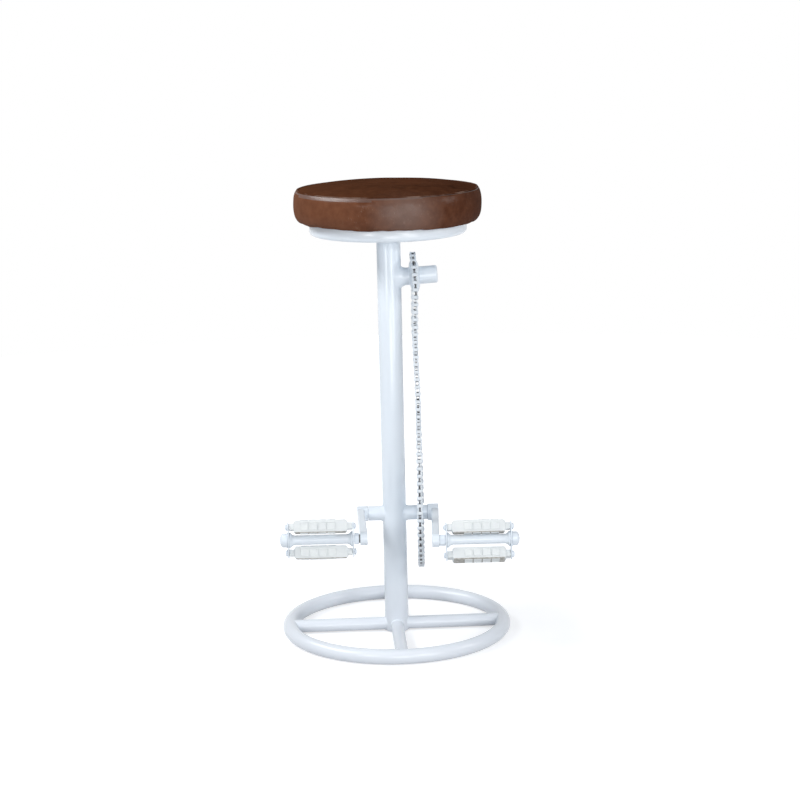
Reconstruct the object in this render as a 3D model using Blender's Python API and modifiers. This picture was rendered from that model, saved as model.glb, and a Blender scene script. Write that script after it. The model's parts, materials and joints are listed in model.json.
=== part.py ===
# Bar stool built from bicycle parts: a ring base with four spokes, one upright tube,
# a round leather cushion in a steel dish, and a fixed chain drive whose two block
# pedals are the footrest.
# Metres, +Z up. The origin is on the floor under the upright. -Y is the front, where
# the cranks point, and +X is the chain side.

import math

import bmesh
import bpy

# Fits
GAP = 0.0003                # between pieces that touch or are welded together
BEARING_GAP = 0.0003        # round the balls of the pedal bearings

# Base
RING_DIAMETER = 0.400       # over the tube
RING_TUBE = 0.0254
RING_WALL = 0.0020
VENT_DIAMETER = 0.005       # drain hole under the ring's hollow tube
BASE_TURN = math.radians(1.8)   # how far the base is turned on the upright
SPOKE_TUBE = 0.0222
SPOKE_WALL = 0.0015

# Upright
COLUMN_TUBE = 0.0410
COLUMN_WALL = 0.0020

# Seat
SEAT_HEIGHT = 0.787         # floor to the top of the crown
CUSHION_HEIGHT = 0.0622     # rim of the dish to the top of the crown
CUSHION_DIAMETER = 0.3215   # at the widest part of the band
SEAM_DIAMETER = 0.3104      # where the top is sewn to the band
CROWN = 0.007               # rise of the top above the seam
CURL_UNDER = 0.5            # how late the band turns in under itself, 1 is an ellipse
LEATHER = 0.0016
TUCK_DEPTH = 0.0112         # leather pushed down inside the dish's rim
DISH_DIAMETER = 0.266
DISH_DEPTH = 0.0208
DISH_SHEET = 0.0016
DISH_CORNER = 0.008
BOARD_THICKNESS = 0.015
SCREW_CIRCLE = 0.170
SCREW_SHANK = 0.0040
SCREW_HEAD = 0.0100
SCREW_HEAD_FACE = 0.0070    # flat end of the domed head
SCREW_HEAD_HEIGHT = 0.0025
SCREW_BITE = 0.011          # length in the board

# Chain drive, which is welded and does not turn
CRANK_AXIS_Z = 0.2129
STUB_DROP = 0.0743          # seat dish's underside down to the sprocket's centre
CHAINRING_X = 0.0458        # planes of the two toothed wheels, which don't quite line up
SPROCKET_X = 0.0431
CHAINRING_YAW = math.radians(2.4)   # how far the chainring's rear is turned outward
CHAIN_SWAY = 0.0024         # sideways bow of the runs below the sprocket
CHAIN_SWAY_LENGTH = 0.190
CHAIN_PITCH = 0.0127
CHAINRING_TEETH = 45
SPROCKET_TEETH = 18
CHAIN_INNER_WIDTH = 0.0040
CHAIN_OUTER_WIDTH = 0.0104
PLATE_HEIGHT = 0.0085       # link plates at the pins
PLATE_WAIST = 0.0060        # link plates between the pins
ROLLER_LENGTH = 0.0052      # along the chain
WHEEL_THICKNESS = 0.0026
TOOTH_DEPTH = 0.0043        # pitch circle down to the root
TOOTH_RISE = 0.0032         # pitch circle up to the tip
ROOT_FLAT = 0.0072
CHAINRING_ARMS = 5
CHAINRING_ARM_WIDTH = 0.013
CHAINRING_HUB = 0.060
CHAINRING_RIM = 0.012       # from the tooth roots in to the windows
STUB_TUBE = 0.0302
STUB_WALL = 0.0020
STUB_END_X = 0.0824
STUB_CAP = 0.0032
STUB_PITCH = math.radians(3.7)  # how far the stub and its sprocket point above level
SPROCKET_HUB = 0.0560
SPROCKET_HUB_EDGE = 0.0084  # length at the hub's edge
SPROCKET_HUB_LENGTH = 0.0170

# Cranks
CROSS_TUBE = 0.0254
CROSS_WALL = 0.0016
CRANK_AXLE = 0.0159
CRANK_LENGTH = 0.165
LEFT_BOSS_DIAMETER = 0.0264
RIGHT_BOSS_DIAMETER = 0.0295
BOSS_CHAMFER = 0.003
BOSS_WIDTH = 0.0195
CROSS_LEFT_X = -0.0455      # ends of the cross tube
CROSS_RIGHT_X = 0.0572
CRANK_SWEEP = 0.005         # how far the arm leans inward from boss to eye
LEFT_CRANK_PITCH = math.radians(0.27)   # how far the arm points above level
RIGHT_CRANK_PITCH = math.radians(-2.04)
ARM_THICKNESS = 0.0120
ARM_ROOT_HEIGHT = 0.021
ARM_EYE_HEIGHT = 0.016
ARM_EDGE = 0.0022
ARM_INSET = 0.0003          # arm's side face in from the ends of boss and eye
EYE_DIAMETER = 0.0225
EYE_WIDTH = 0.0123

# Pedals, measured outward from the crank eye's outer face
SPINDLE_THREAD = 0.0143
SPINDLE_COLLAR = 0.0190
SPINDLE_COLLAR_WIDTH = 0.0095
SPINDLE_FLATS = 0.0150
SPINDLE_SHOULDER = 0.0120
SPINDLE_SHAFT = 0.0100
PEDAL_START = 0.0105        # outer side of the inner plate
PEDAL_PLATE = 0.0020
PEDAL_BODY = 0.1057         # between the plates, less a gap at each
PLATE_CENTRE_WIDTH = 0.028
PLATE_HOLE_CLEARANCE = 0.0012   # round the spindle's shoulder and the cone nut
PLATE_END_RADIUS = 0.009
BARREL_DIAMETER = 0.0162
BARREL_FLARE = 0.0260
FLARE_RIM = 0.0025
FLARE_LENGTH = 0.0092
BARREL_BORE = 0.0124
BALL_DIAMETER = 0.0031
CUP_DEPTH = 0.0040
BLOCK_SPACING = 0.0467      # between the two block centres
BLOCK_HEIGHT = 0.0212
BLOCK_DEPTH = 0.0196
BLOCK_LENGTH = 0.0895
BLOCK_CHAMFER = 0.0030
BLOCK_EDGE = 0.0012
BLOCK_BOSS_HEIGHT = 0.0115
BLOCK_BOSS_DEPTH = 0.0130
BOLT_DIAMETER = 0.0055
BOLT_HEAD = 0.0110
BOLT_HEAD_HEIGHT = 0.0042
BOLT_STANDOUT = 0.0008      # bolt end past its nut
NUT_FLATS = 0.0095
NUT_HEIGHT = 0.0030
CONE_NUT_FLATS = 0.0130
CONE_NUT_HEIGHT = 0.0055
SPINDLE_END_PAST_NUT = 0.0010
CAP_DIAMETER = 0.0250
CAP_LENGTH = 0.0132
CAP_WALL = 0.0012
LEFT_PEDAL_TILT = math.radians(-8)      # tread faces turned up from level
RIGHT_PEDAL_TILT = math.radians(12)
LEFT_BLOCK_TURNS = (math.radians(30), math.radians(26))     # upper and lower block on its bolt
RIGHT_BLOCK_TURNS = (math.radians(14), math.radians(28))
RIGHT_BLOCK_DROP = 0.0026   # how far both right blocks sit below the middle of their plates

# Facets round each kind of piece
RING_STEPS = 40
RING_SIDES = 12
RING_BORE_SIDES = 8
SEAT_STEPS = 32
COLUMN_STEPS = 20
TUBE_STEPS = 16
SMALL_STEPS = 12
FASTENER_STEPS = 8

# Worked-out places
RIM_TOP_Z = SEAT_HEIGHT - CUSHION_HEIGHT
DISH_BOTTOM_Z = RIM_TOP_Z - DISH_DEPTH
STUB_AXIS_Z = DISH_BOTTOM_Z - STUB_DROP
BOARD_BOTTOM_Z = DISH_BOTTOM_Z + DISH_SHEET + GAP
BOARD_TOP_Z = BOARD_BOTTOM_Z + BOARD_THICKNESS
SEAM_Z = SEAT_HEIGHT - CROWN
RING_RADIUS = (RING_DIAMETER - RING_TUBE) / 2
FLOOR_TUBE_Z = RING_TUBE / 2
CHAINRING_RADIUS = CHAIN_PITCH / (2 * math.sin(math.pi / CHAINRING_TEETH))
SPROCKET_RADIUS = CHAIN_PITCH / (2 * math.sin(math.pi / SPROCKET_TEETH))
PEDAL_BODY_START = PEDAL_START + PEDAL_PLATE + GAP
PEDAL_BODY_END = PEDAL_BODY_START + PEDAL_BODY
OUTER_PLATE_START = PEDAL_BODY_END + GAP
OUTER_PLATE_END = OUTER_PLATE_START + PEDAL_PLATE
BALL_TRACK_RADIUS = SPINDLE_SHAFT / 2 + BEARING_GAP + BALL_DIAMETER / 2
CUP_RADIUS = BALL_TRACK_RADIUS + BALL_DIAMETER / 2 + BEARING_GAP

TO_X_AXIS = (0, math.pi / 2, 0)   # turns a piece made along Z to lie along X
TO_STUB_AXIS = (0, math.pi / 2 - STUB_PITCH, 0)


def clear_scene():
    for old in list(bpy.data.objects):
        bpy.data.objects.remove(old, do_unlink=True)


def collection(name):
    made = bpy.data.collections.new(name)
    bpy.context.scene.collection.children.link(made)
    return made


clear_scene()
STOOL = collection("bicycle_stool")
CUTTERS = collection("cutters")


def finish(name, color, roughness, metallic):
    material = bpy.data.materials.new(name)
    material.use_nodes = True
    shader = material.node_tree.nodes["Principled BSDF"]
    shader.inputs["Base Color"].default_value = (*color, 1)
    shader.inputs["Roughness"].default_value = roughness
    shader.inputs["Metallic"].default_value = metallic
    return material


WHITE_PAINT = finish("white_paint", (0.83, 0.87, 0.92), 0.25, 0.0)
CHAIN_PAINT = finish("chain_paint", (0.76, 0.79, 0.83), 0.4, 0.0)
BROWN_LEATHER = finish("brown_leather", (0.14, 0.045, 0.018), 0.45, 0.0)
WHITE_RUBBER = finish("white_rubber", (0.83, 0.86, 0.86), 0.6, 0.0)
PLYWOOD = finish("plywood", (0.55, 0.38, 0.22), 0.7, 0.0)
FOAM = finish("foam", (0.8, 0.74, 0.55), 0.9, 0.0)
ZINC = finish("zinc_steel", (0.62, 0.63, 0.65), 0.35, 1.0)


def add(name, data, material, parent=None, location=(0, 0, 0), rotation=(0, 0, 0)):
    piece = bpy.data.objects.new(name, data)
    data.materials.append(material)
    STOOL.objects.link(piece)
    piece.parent = parent
    piece.location = location
    piece.rotation_euler = rotation
    return piece


def mesh_of(bm, name):
    mesh = bpy.data.meshes.new(name)
    bmesh.ops.recalc_face_normals(bm, faces=bm.faces)
    bm.to_mesh(mesh)
    bm.free()
    mesh.shade_smooth()
    mesh.set_sharp_from_angle(angle=math.radians(35))
    return mesh


def as_cutter(piece):
    STOOL.objects.unlink(piece)
    CUTTERS.objects.link(piece)
    piece.hide_render = True
    piece.display_type = "WIRE"
    return piece


def boolean(piece, other, operation="DIFFERENCE"):
    modifier = piece.modifiers.new(operation.lower(), "BOOLEAN")
    modifier.operation = operation
    modifier.solver = "EXACT"
    modifier.object = other


def turned(name, profile, material, steps, ring=False, **placing):
    # The profile is (radius, height) points down the outer side, from axis to axis,
    # or all the way round when the piece is a ring.
    bm = bmesh.new()
    points = [bm.verts.new((radius, 0, height)) for radius, height in profile]
    pairs = list(zip(points, points[1:]))
    if ring:
        pairs.append((points[-1], points[0]))
    for pair in pairs:
        bm.edges.new(pair)
    mesh = bpy.data.meshes.new(name)
    bm.to_mesh(mesh)
    bm.free()
    piece = add(name, mesh, material, **placing)
    screw = piece.modifiers.new("turn", "SCREW")
    screw.axis = "Z"
    screw.steps = steps
    screw.render_steps = steps
    screw.use_merge_vertices = True
    screw.merge_threshold = 0.00001
    screw.use_smooth_shade = True
    return piece


def tube_profile(diameter, wall, bottom, top):
    outer = diameter / 2
    inner = outer - wall
    return [(outer, top), (outer, bottom), (inner, bottom), (inner, top)]


def rod_profile(diameter, bottom, top):
    return [(0, top), (diameter / 2, top), (diameter / 2, bottom), (0, bottom)]


def rod_cutter(name, diameter, bottom, top, steps, **placing):
    cutter = turned(name, rod_profile(diameter, bottom, top), WHITE_PAINT, steps, **placing)
    return as_cutter(cutter)


def ring_section(radius, sides):
    # A round section with a flat lying at the bottom, run down its outer side.
    corner = radius / math.cos(math.pi / sides)
    turns = [math.pi / 2 - (2 * k + 1) * math.pi / sides for k in range(sides)]
    return [(RING_RADIUS + corner * math.cos(a), FLOOR_TUBE_Z + corner * math.sin(a)) for a in turns]


def flat_piece(name, outlines, thickness, material, **placing):
    # A plate in the local XY plane. The first outline is its edge, the others are holes.
    curve = bpy.data.curves.new(name, "CURVE")
    curve.dimensions = "2D"
    curve.fill_mode = "BOTH"
    curve.extrude = thickness / 2
    for outline in outlines:
        spline = curve.splines.new("POLY")
        spline.points.add(len(outline) - 1)
        for point, (x, y) in zip(spline.points, outline):
            point.co = (x, y, 0, 1)
        spline.use_cyclic_u = True
    return add(name, curve, material, **placing)


def arc(radius, start, end, steps, centre=(0, 0)):
    turns = [start + (end - start) * k / steps for k in range(steps + 1)]
    return [(centre[0] + radius * math.cos(a), centre[1] + radius * math.sin(a)) for a in turns]


def circle(diameter, steps, centre=(0, 0)):
    return arc(diameter / 2, 0, 2 * math.pi, steps, centre)[:-1]


def block(size, centre):
    bm = bmesh.new()
    bmesh.ops.create_cube(bm, size=1)
    bmesh.ops.scale(bm, vec=size, verts=bm.verts)
    bmesh.ops.translate(bm, vec=centre, verts=bm.verts)
    return bm


# Base
def base():
    turn = {"rotation": (0, 0, BASE_TURN)}
    section = ring_section(RING_TUBE / 2, RING_SIDES)
    ring = turned("base_ring", section, WHITE_PAINT, RING_STEPS, ring=True, **turn)
    bore = ring_section(RING_TUBE / 2 - RING_WALL, RING_BORE_SIDES)
    boolean(ring, as_cutter(turned("ring_bore", bore, WHITE_PAINT, RING_STEPS, ring=True, **turn)))
    vent_turn = 3 * math.pi / 4 + BASE_TURN
    vent_place = (RING_RADIUS * math.cos(vent_turn), RING_RADIUS * math.sin(vent_turn), 0)
    vent = rod_cutter(
        "ring_vent", VENT_DIAMETER, -RING_WALL, 2 * RING_WALL, FASTENER_STEPS, location=vent_place)
    boolean(ring, vent)

    ring_clear = ring_section(RING_TUBE / 2 + GAP, RING_SIDES)
    ring_cope = as_cutter(turned("ring_cope", ring_clear, WHITE_PAINT, RING_STEPS, ring=True, **turn))
    column_cope = rod_cutter(
        "column_cope", COLUMN_TUBE + 2 * GAP, -RING_TUBE, 2 * RING_TUBE, COLUMN_STEPS, **turn)
    quarter_turns = {"right": 0, "rear": 1, "left": 2, "front": 3}
    for side, quarters in quarter_turns.items():
        profile = tube_profile(SPOKE_TUBE, SPOKE_WALL, COLUMN_TUBE / 2 - COLUMN_WALL, RING_RADIUS)
        spoke = turned(
            "base_spoke_" + side, profile, WHITE_PAINT, SMALL_STEPS, ring=True,
            location=(0, 0, FLOOR_TUBE_Z), rotation=(0, math.pi / 2, quarters * math.pi / 2 + BASE_TURN))
        boolean(spoke, column_cope)
        boolean(spoke, ring_cope)


# Upright
def column():
    bottom = FLOOR_TUBE_Z - SPOKE_TUBE / 2
    profile = tube_profile(COLUMN_TUBE, COLUMN_WALL, bottom, DISH_BOTTOM_Z - GAP)
    upright = turned(
        "column_tube", profile, WHITE_PAINT, COLUMN_STEPS, ring=True, rotation=(0, 0, BASE_TURN))
    hole = rod_cutter(
        "cross_tube_hole", CROSS_TUBE + 2 * GAP, -COLUMN_TUBE, COLUMN_TUBE, TUBE_STEPS,
        location=(0, 0, CRANK_AXIS_Z), rotation=TO_X_AXIS)
    boolean(upright, hole)


# Seat
def offset(points, distance):
    # The same polyline moved to its right by distance, mitred at its corners.
    normals = []
    for (r0, z0), (r1, z1) in zip(points, points[1:]):
        length = math.hypot(r1 - r0, z1 - z0)
        normals.append(((z1 - z0) / length, (r0 - r1) / length))
    before = [normals[0]] + normals
    after = normals + [normals[-1]]
    moved = []
    for (r, z), (ar, az), (br, bz) in zip(points, before, after):
        share = distance / (1 + ar * br + az * bz)
        moved.append((r + (ar + br) * share, z + (az + bz) * share))
    return moved


def crown_curve(steps):
    # Top of the cushion from the middle to the seam, flatter in the middle.
    seam = SEAM_DIAMETER / 2
    radii = [seam * k / steps for k in range(steps + 1)]
    return [(r, SEAT_HEIGHT - CROWN * (r / seam) ** 3) for r in radii]


def band_curve(steps):
    # Side of the cushion from the seam down: it bulges, then draws in under itself.
    seam = SEAM_DIAMETER / 2
    bulge = CUSHION_DIAMETER / 2
    rim = DISH_DIAMETER / 2
    under_z = RIM_TOP_Z + GAP
    middle_z = (SEAM_Z + under_z) / 2
    points = []
    for k in range(steps + 1):
        turn = math.pi / 2 * k / steps
        z = SEAM_Z + (middle_z - SEAM_Z) * (1 - math.cos(turn))
        points.append((seam + (bulge - seam) * math.sin(turn), z))
    for k in range(1, steps + 2):
        turn = math.pi / 2 * k / (steps + 1)
        z = middle_z - (middle_z - under_z) * math.sin(turn)
        points.append((rim + (bulge - rim) * math.cos(turn) ** CURL_UNDER, z))
    return points


def seat():
    rim = DISH_DIAMETER / 2
    inside = rim - DISH_SHEET
    corner = arc(DISH_CORNER, 0, -math.pi / 2, 3, (rim - DISH_CORNER, DISH_BOTTOM_Z + DISH_CORNER))
    sheet = [(0, DISH_BOTTOM_Z)] + corner[::-1] + [(rim, RIM_TOP_Z)]
    dish = turned("seat_dish", offset(sheet, -DISH_SHEET) + sheet[::-1], WHITE_PAINT, SEAT_STEPS)

    tuck_outer = inside - GAP
    tuck_inner = tuck_outer - LEATHER
    board_radius = tuck_inner - GAP
    profile = rod_profile(2 * board_radius, BOARD_BOTTOM_Z, BOARD_TOP_Z)
    board_corner = (board_radius - DISH_CORNER, BOARD_BOTTOM_Z)
    board_edge = (board_radius, BOARD_BOTTOM_Z + DISH_CORNER)
    board = turned("seat_board", profile[:2] + [board_edge, board_corner] + profile[3:], PLYWOOD, SEAT_STEPS)

    tuck = [(tuck_outer, RIM_TOP_Z + GAP), (tuck_outer, RIM_TOP_Z - TUCK_DEPTH)]
    top_line = crown_curve(4)
    band_line = band_curve(3)
    half_seam = GAP / 2

    band_outer = [(band_line[0][0], SEAM_Z - half_seam)] + band_line[1:] + tuck
    band = band_outer + offset(band_outer, LEATHER)[::-1]
    turned("leather_band", band, BROWN_LEATHER, SEAT_STEPS, ring=True)

    top_inner = offset(top_line, LEATHER)
    seam_inner = (top_line[-1][0] - LEATHER, SEAM_Z + half_seam)
    top_outer = top_line[:-1] + [(top_line[-1][0], SEAM_Z + half_seam)]
    turned("leather_top", top_outer + [seam_inner] + top_inner[:-1][::-1], BROWN_LEATHER, SEAT_STEPS)

    skin = LEATHER + GAP
    foam_top = offset(top_line, skin)[:-1]
    foam_side = offset(band_outer, skin)
    foot = tuck_inner - GAP
    foam_foot = [(foot, foam_side[-2][1]), (foot, BOARD_TOP_Z + GAP), (0, BOARD_TOP_Z + GAP)]
    shoulder = (foam_side[0][0], SEAM_Z - skin)
    foam_line = foam_top + [shoulder] + foam_side[1:-2] + foam_foot
    turned("seat_foam", foam_line, FOAM, SEAT_STEPS)

    head_top = DISH_BOTTOM_Z - GAP
    point = BOARD_BOTTOM_Z + SCREW_BITE
    for number in range(4):
        turn = math.pi / 4 + number * math.pi / 2
        place = (SCREW_CIRCLE / 2 * math.cos(turn), SCREW_CIRCLE / 2 * math.sin(turn), 0)
        hole_name = f"screw_hole_{number + 1}"
        hole_size = SCREW_SHANK + 2 * GAP
        hole = rod_cutter(hole_name, hole_size, head_top, point + GAP, FASTENER_STEPS, location=place)
        boolean(dish, hole)
        boolean(board, hole)
        shank = SCREW_SHANK / 2
        head = SCREW_HEAD / 2
        screw = [(0, point), (shank, point), (shank, head_top), (head, head_top)]
        screw += [(SCREW_HEAD_FACE / 2, head_top - SCREW_HEAD_HEIGHT), (0, head_top - SCREW_HEAD_HEIGHT)]
        turned(f"seat_screw_{number + 1}", screw, ZINC, FASTENER_STEPS, location=place)


# Chain drive
def toothed_edge(radius, teeth, phase):
    # One root flat and one tooth for each pitch. A root sits at the angle phase.
    edge = []
    for k in range(teeth):
        root = phase + 2 * math.pi * k / teeth
        tip = root + math.pi / teeth
        low = radius - TOOTH_DEPTH
        high = radius + TOOTH_RISE
        half_root = ROOT_FLAT / 2 / radius
        for reach, turn in ((low, root - half_root), (low, root + half_root), (high, tip)):
            edge.append((reach * math.cos(turn), reach * math.sin(turn)))
    return edge


def chainring_windows():
    windows = []
    inner = CHAINRING_HUB / 2
    outer = CHAINRING_RADIUS - TOOTH_DEPTH - CHAINRING_RIM
    for k in range(CHAINRING_ARMS):
        middle = 2 * math.pi * (k + 0.5) / CHAINRING_ARMS
        half = math.pi / CHAINRING_ARMS
        wide = half - CHAINRING_ARM_WIDTH / 2 / outer
        narrow = half - CHAINRING_ARM_WIDTH / 2 / inner
        far_side = arc(outer, middle - wide, middle + wide, 5)
        near_side = arc(inner, middle + narrow, middle - narrow, 3)
        windows.append(far_side + near_side)
    return windows


def chain_route():
    # Lengths of the chain's stretches, taken from the bottom of the chainring round to
    # the top of the sprocket, and the tilt of the two straight runs.
    reach = STUB_AXIS_Z - CRANK_AXIS_Z
    tilt = math.asin((CHAINRING_RADIUS - SPROCKET_RADIUS) / reach)
    lower = CHAINRING_RADIUS * (math.pi / 2 + tilt)
    run = reach * math.cos(tilt)
    upper = SPROCKET_RADIUS * (math.pi / 2 - tilt)
    return tilt, lower, run, upper


def chain_point(distance, height):
    # Y and Z on the chain, at a distance along it from the bottom of the chainring and
    # at a height outside its pitch line. Half of the loop mirrors the other.
    tilt, lower, run, upper = chain_route()
    half_loop = lower + run + upper
    along = abs(distance)
    side = math.copysign(1, distance)
    if along > half_loop:
        along = 2 * half_loop - along
        side = -side
    if along <= lower:
        turn = along / CHAINRING_RADIUS
        reach = CHAINRING_RADIUS + height
        return side * reach * math.sin(turn), CRANK_AXIS_Z - reach * math.cos(turn)
    if along <= lower + run:
        reach = CHAINRING_RADIUS + height
        up = along - lower
        y = reach * math.cos(tilt) - up * math.sin(tilt)
        return side * y, CRANK_AXIS_Z + reach * math.sin(tilt) + up * math.cos(tilt)
    turn = (half_loop - along) / SPROCKET_RADIUS
    reach = SPROCKET_RADIUS + height
    return side * reach * math.sin(turn), STUB_AXIS_Z + reach * math.cos(turn)


def chain_x(y, z):
    # The chain leans with the sprocket until it has left the teeth, and its runs then
    # lead to the chainring's plane, with a sideways bow on the way.
    foot = STUB_AXIS_Z - SPROCKET_RADIUS / 3
    head = CRANK_AXIS_Z + CHAINRING_RADIUS / 2
    on_ring = CHAINRING_X + y * math.tan(CHAINRING_YAW)
    leaning = SPROCKET_X - (max(z, foot) - STUB_AXIS_Z) * math.tan(STUB_PITCH)
    share = (z - head) / (foot - head)
    sway = (foot - z) / CHAIN_SWAY_LENGTH
    bow = CHAIN_SWAY * math.sin(math.pi * min(max(sway, 0), 1))
    return on_ring + (leaning - on_ring) * min(max(share, 0), 1) - bow


def chain_stretch(name, first, last, pitch):
    # A ladder of link plates and rollers from joint first to joint last. It starts as a
    # flat grid, whose cells between the rollers are removed, and is then wrapped.
    rows = [(first - 0.5) * pitch + GAP / 2]
    waist_rows = {0}
    for joint in range(first, last + 1):
        rows += [joint * pitch - ROLLER_LENGTH / 2, joint * pitch + ROLLER_LENGTH / 2, (joint + 0.5) * pitch]
        waist_rows.add(len(rows) - 1)
    rows[-1] -= GAP / 2
    inner = CHAIN_INNER_WIDTH / 2
    outer = CHAIN_OUTER_WIDTH / 2
    columns = [-outer, -inner, inner, outer]

    bm = bmesh.new()
    bmesh.ops.create_grid(bm, x_segments=len(rows) - 1, y_segments=len(columns) - 1, size=1)

    def cell(vert):
        row = round((vert.co.x + 1) / 2 * (len(rows) - 1))
        return row, round((vert.co.y + 1) / 2 * (len(columns) - 1))

    gaps = []
    for face in bm.faces:
        cells = [cell(vert) for vert in face.verts]
        between_plates = {c for r, c in cells} == {1, 2}
        if between_plates and waist_rows & {r for r, c in cells}:
            gaps.append(face)
    bmesh.ops.delete(bm, geom=gaps, context="FACES")
    top = bmesh.ops.extrude_face_region(bm, geom=bm.faces[:])["geom"]
    raised = {item for item in top if isinstance(item, bmesh.types.BMVert)}
    for vert in bm.verts:
        row, column = cell(vert)
        half = PLATE_WAIST / 2 if row in waist_rows else PLATE_HEIGHT / 2
        y, z = chain_point(rows[row], half if vert in raised else -half)
        vert.co = (chain_x(y, z) + columns[column], y, z)
    add(name, mesh_of(bm, name), CHAIN_PAINT)


def chain_drive():
    tilt, lower, run, upper = chain_route()
    loop = 2 * (lower + run + upper)
    joints = round(loop / CHAIN_PITCH)
    pitch = loop / joints
    lower_last = math.floor(lower / pitch)
    run_last = math.floor((lower + run) / pitch)
    chain_stretch("chain_lower_wrap", -lower_last, lower_last, pitch)
    chain_stretch("chain_rear_run", lower_last + 1, run_last, pitch)
    chain_stretch("chain_upper_wrap", run_last + 1, joints - run_last - 1, pitch)
    chain_stretch("chain_front_run", -run_last, -lower_last - 1, pitch)

    bottom_root = toothed_edge(CHAINRING_RADIUS, CHAINRING_TEETH, 0)
    chainring_bore = circle(CROSS_TUBE + 2 * GAP, TUBE_STEPS)
    flat_piece(
        "chainring", [bottom_root, chainring_bore] + chainring_windows(), WHEEL_THICKNESS, WHITE_PAINT,
        location=(CHAINRING_X, 0, CRANK_AXIS_Z), rotation=(0, math.pi / 2, -CHAINRING_YAW))
    sprocket(math.pi + (joints % 2) * math.pi / SPROCKET_TEETH)
    stub()


def sprocket(phase):
    # A toothed plate with a lens shaped hub, bored to slide on the stub.
    placing = {"location": (SPROCKET_X, 0, STUB_AXIS_Z), "rotation": TO_STUB_AXIS}
    bm = bmesh.new()
    edge = toothed_edge(SPROCKET_RADIUS, SPROCKET_TEETH, phase)
    plate = bm.faces.new([bm.verts.new((x, y, -WHEEL_THICKNESS / 2)) for x, y in edge])
    top = bmesh.ops.extrude_face_region(bm, geom=[plate])["geom"]
    raised = [item for item in top if isinstance(item, bmesh.types.BMVert)]
    bmesh.ops.translate(bm, verts=raised, vec=(0, 0, WHEEL_THICKNESS))
    wheel = add("upper_sprocket", mesh_of(bm, "upper_sprocket"), WHITE_PAINT, **placing)
    half = SPROCKET_HUB_LENGTH / 2
    neck = STUB_TUBE / 2 + STUB_WALL
    rim = SPROCKET_HUB / 2
    lens = [(0, half), (neck, half), (rim, SPROCKET_HUB_EDGE / 2)]
    lens += [(r, -z) for r, z in reversed(lens)]
    boolean(wheel, as_cutter(turned("sprocket_hub", lens, WHITE_PAINT, SEAT_STEPS, **placing)), "UNION")
    bore = rod_cutter(
        "sprocket_bore", STUB_TUBE + 2 * GAP, -SPROCKET_HUB_LENGTH, SPROCKET_HUB_LENGTH, TUBE_STEPS, **placing)
    boolean(wheel, bore)


def stub():
    # Both pieces are made along the stub's axis from the sprocket's centre.
    placing = {"location": (SPROCKET_X, 0, STUB_AXIS_Z), "rotation": TO_STUB_AXIS}
    end = STUB_END_X - SPROCKET_X
    profile = tube_profile(STUB_TUBE, STUB_WALL, -SPROCKET_X, end - STUB_CAP - GAP)
    tube = turned("hub_stub", profile, WHITE_PAINT, TUBE_STEPS, ring=True, **placing)
    cope = rod_cutter(
        "stub_cope", COLUMN_TUBE + 2 * GAP, STUB_AXIS_Z - STUB_TUBE, STUB_AXIS_Z + STUB_TUBE, COLUMN_STEPS,
        rotation=(0, 0, BASE_TURN))
    boolean(tube, cope)
    cap = rod_profile(STUB_TUBE, end - STUB_CAP, end)
    cap_edge = (STUB_TUBE / 2, end - STUB_CAP / 2)
    cap_face = (STUB_TUBE / 2 - STUB_CAP / 2, end)
    turned("stub_end_cap", [cap[0], cap_face, cap_edge] + cap[2:], WHITE_PAINT, TUBE_STEPS, **placing)


# Cranks
def eye_place(side):
    # Middle of the pedal eye's outer face, for side 1 on the right and -1 on the left.
    cross_end = CROSS_RIGHT_X if side > 0 else CROSS_LEFT_X
    pitch = RIGHT_CRANK_PITCH if side > 0 else LEFT_CRANK_PITCH
    x = cross_end + side * (GAP + BOSS_WIDTH - CRANK_SWEEP)
    return x, -CRANK_LENGTH * math.cos(pitch), CRANK_AXIS_Z + CRANK_LENGTH * math.sin(pitch)


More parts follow.
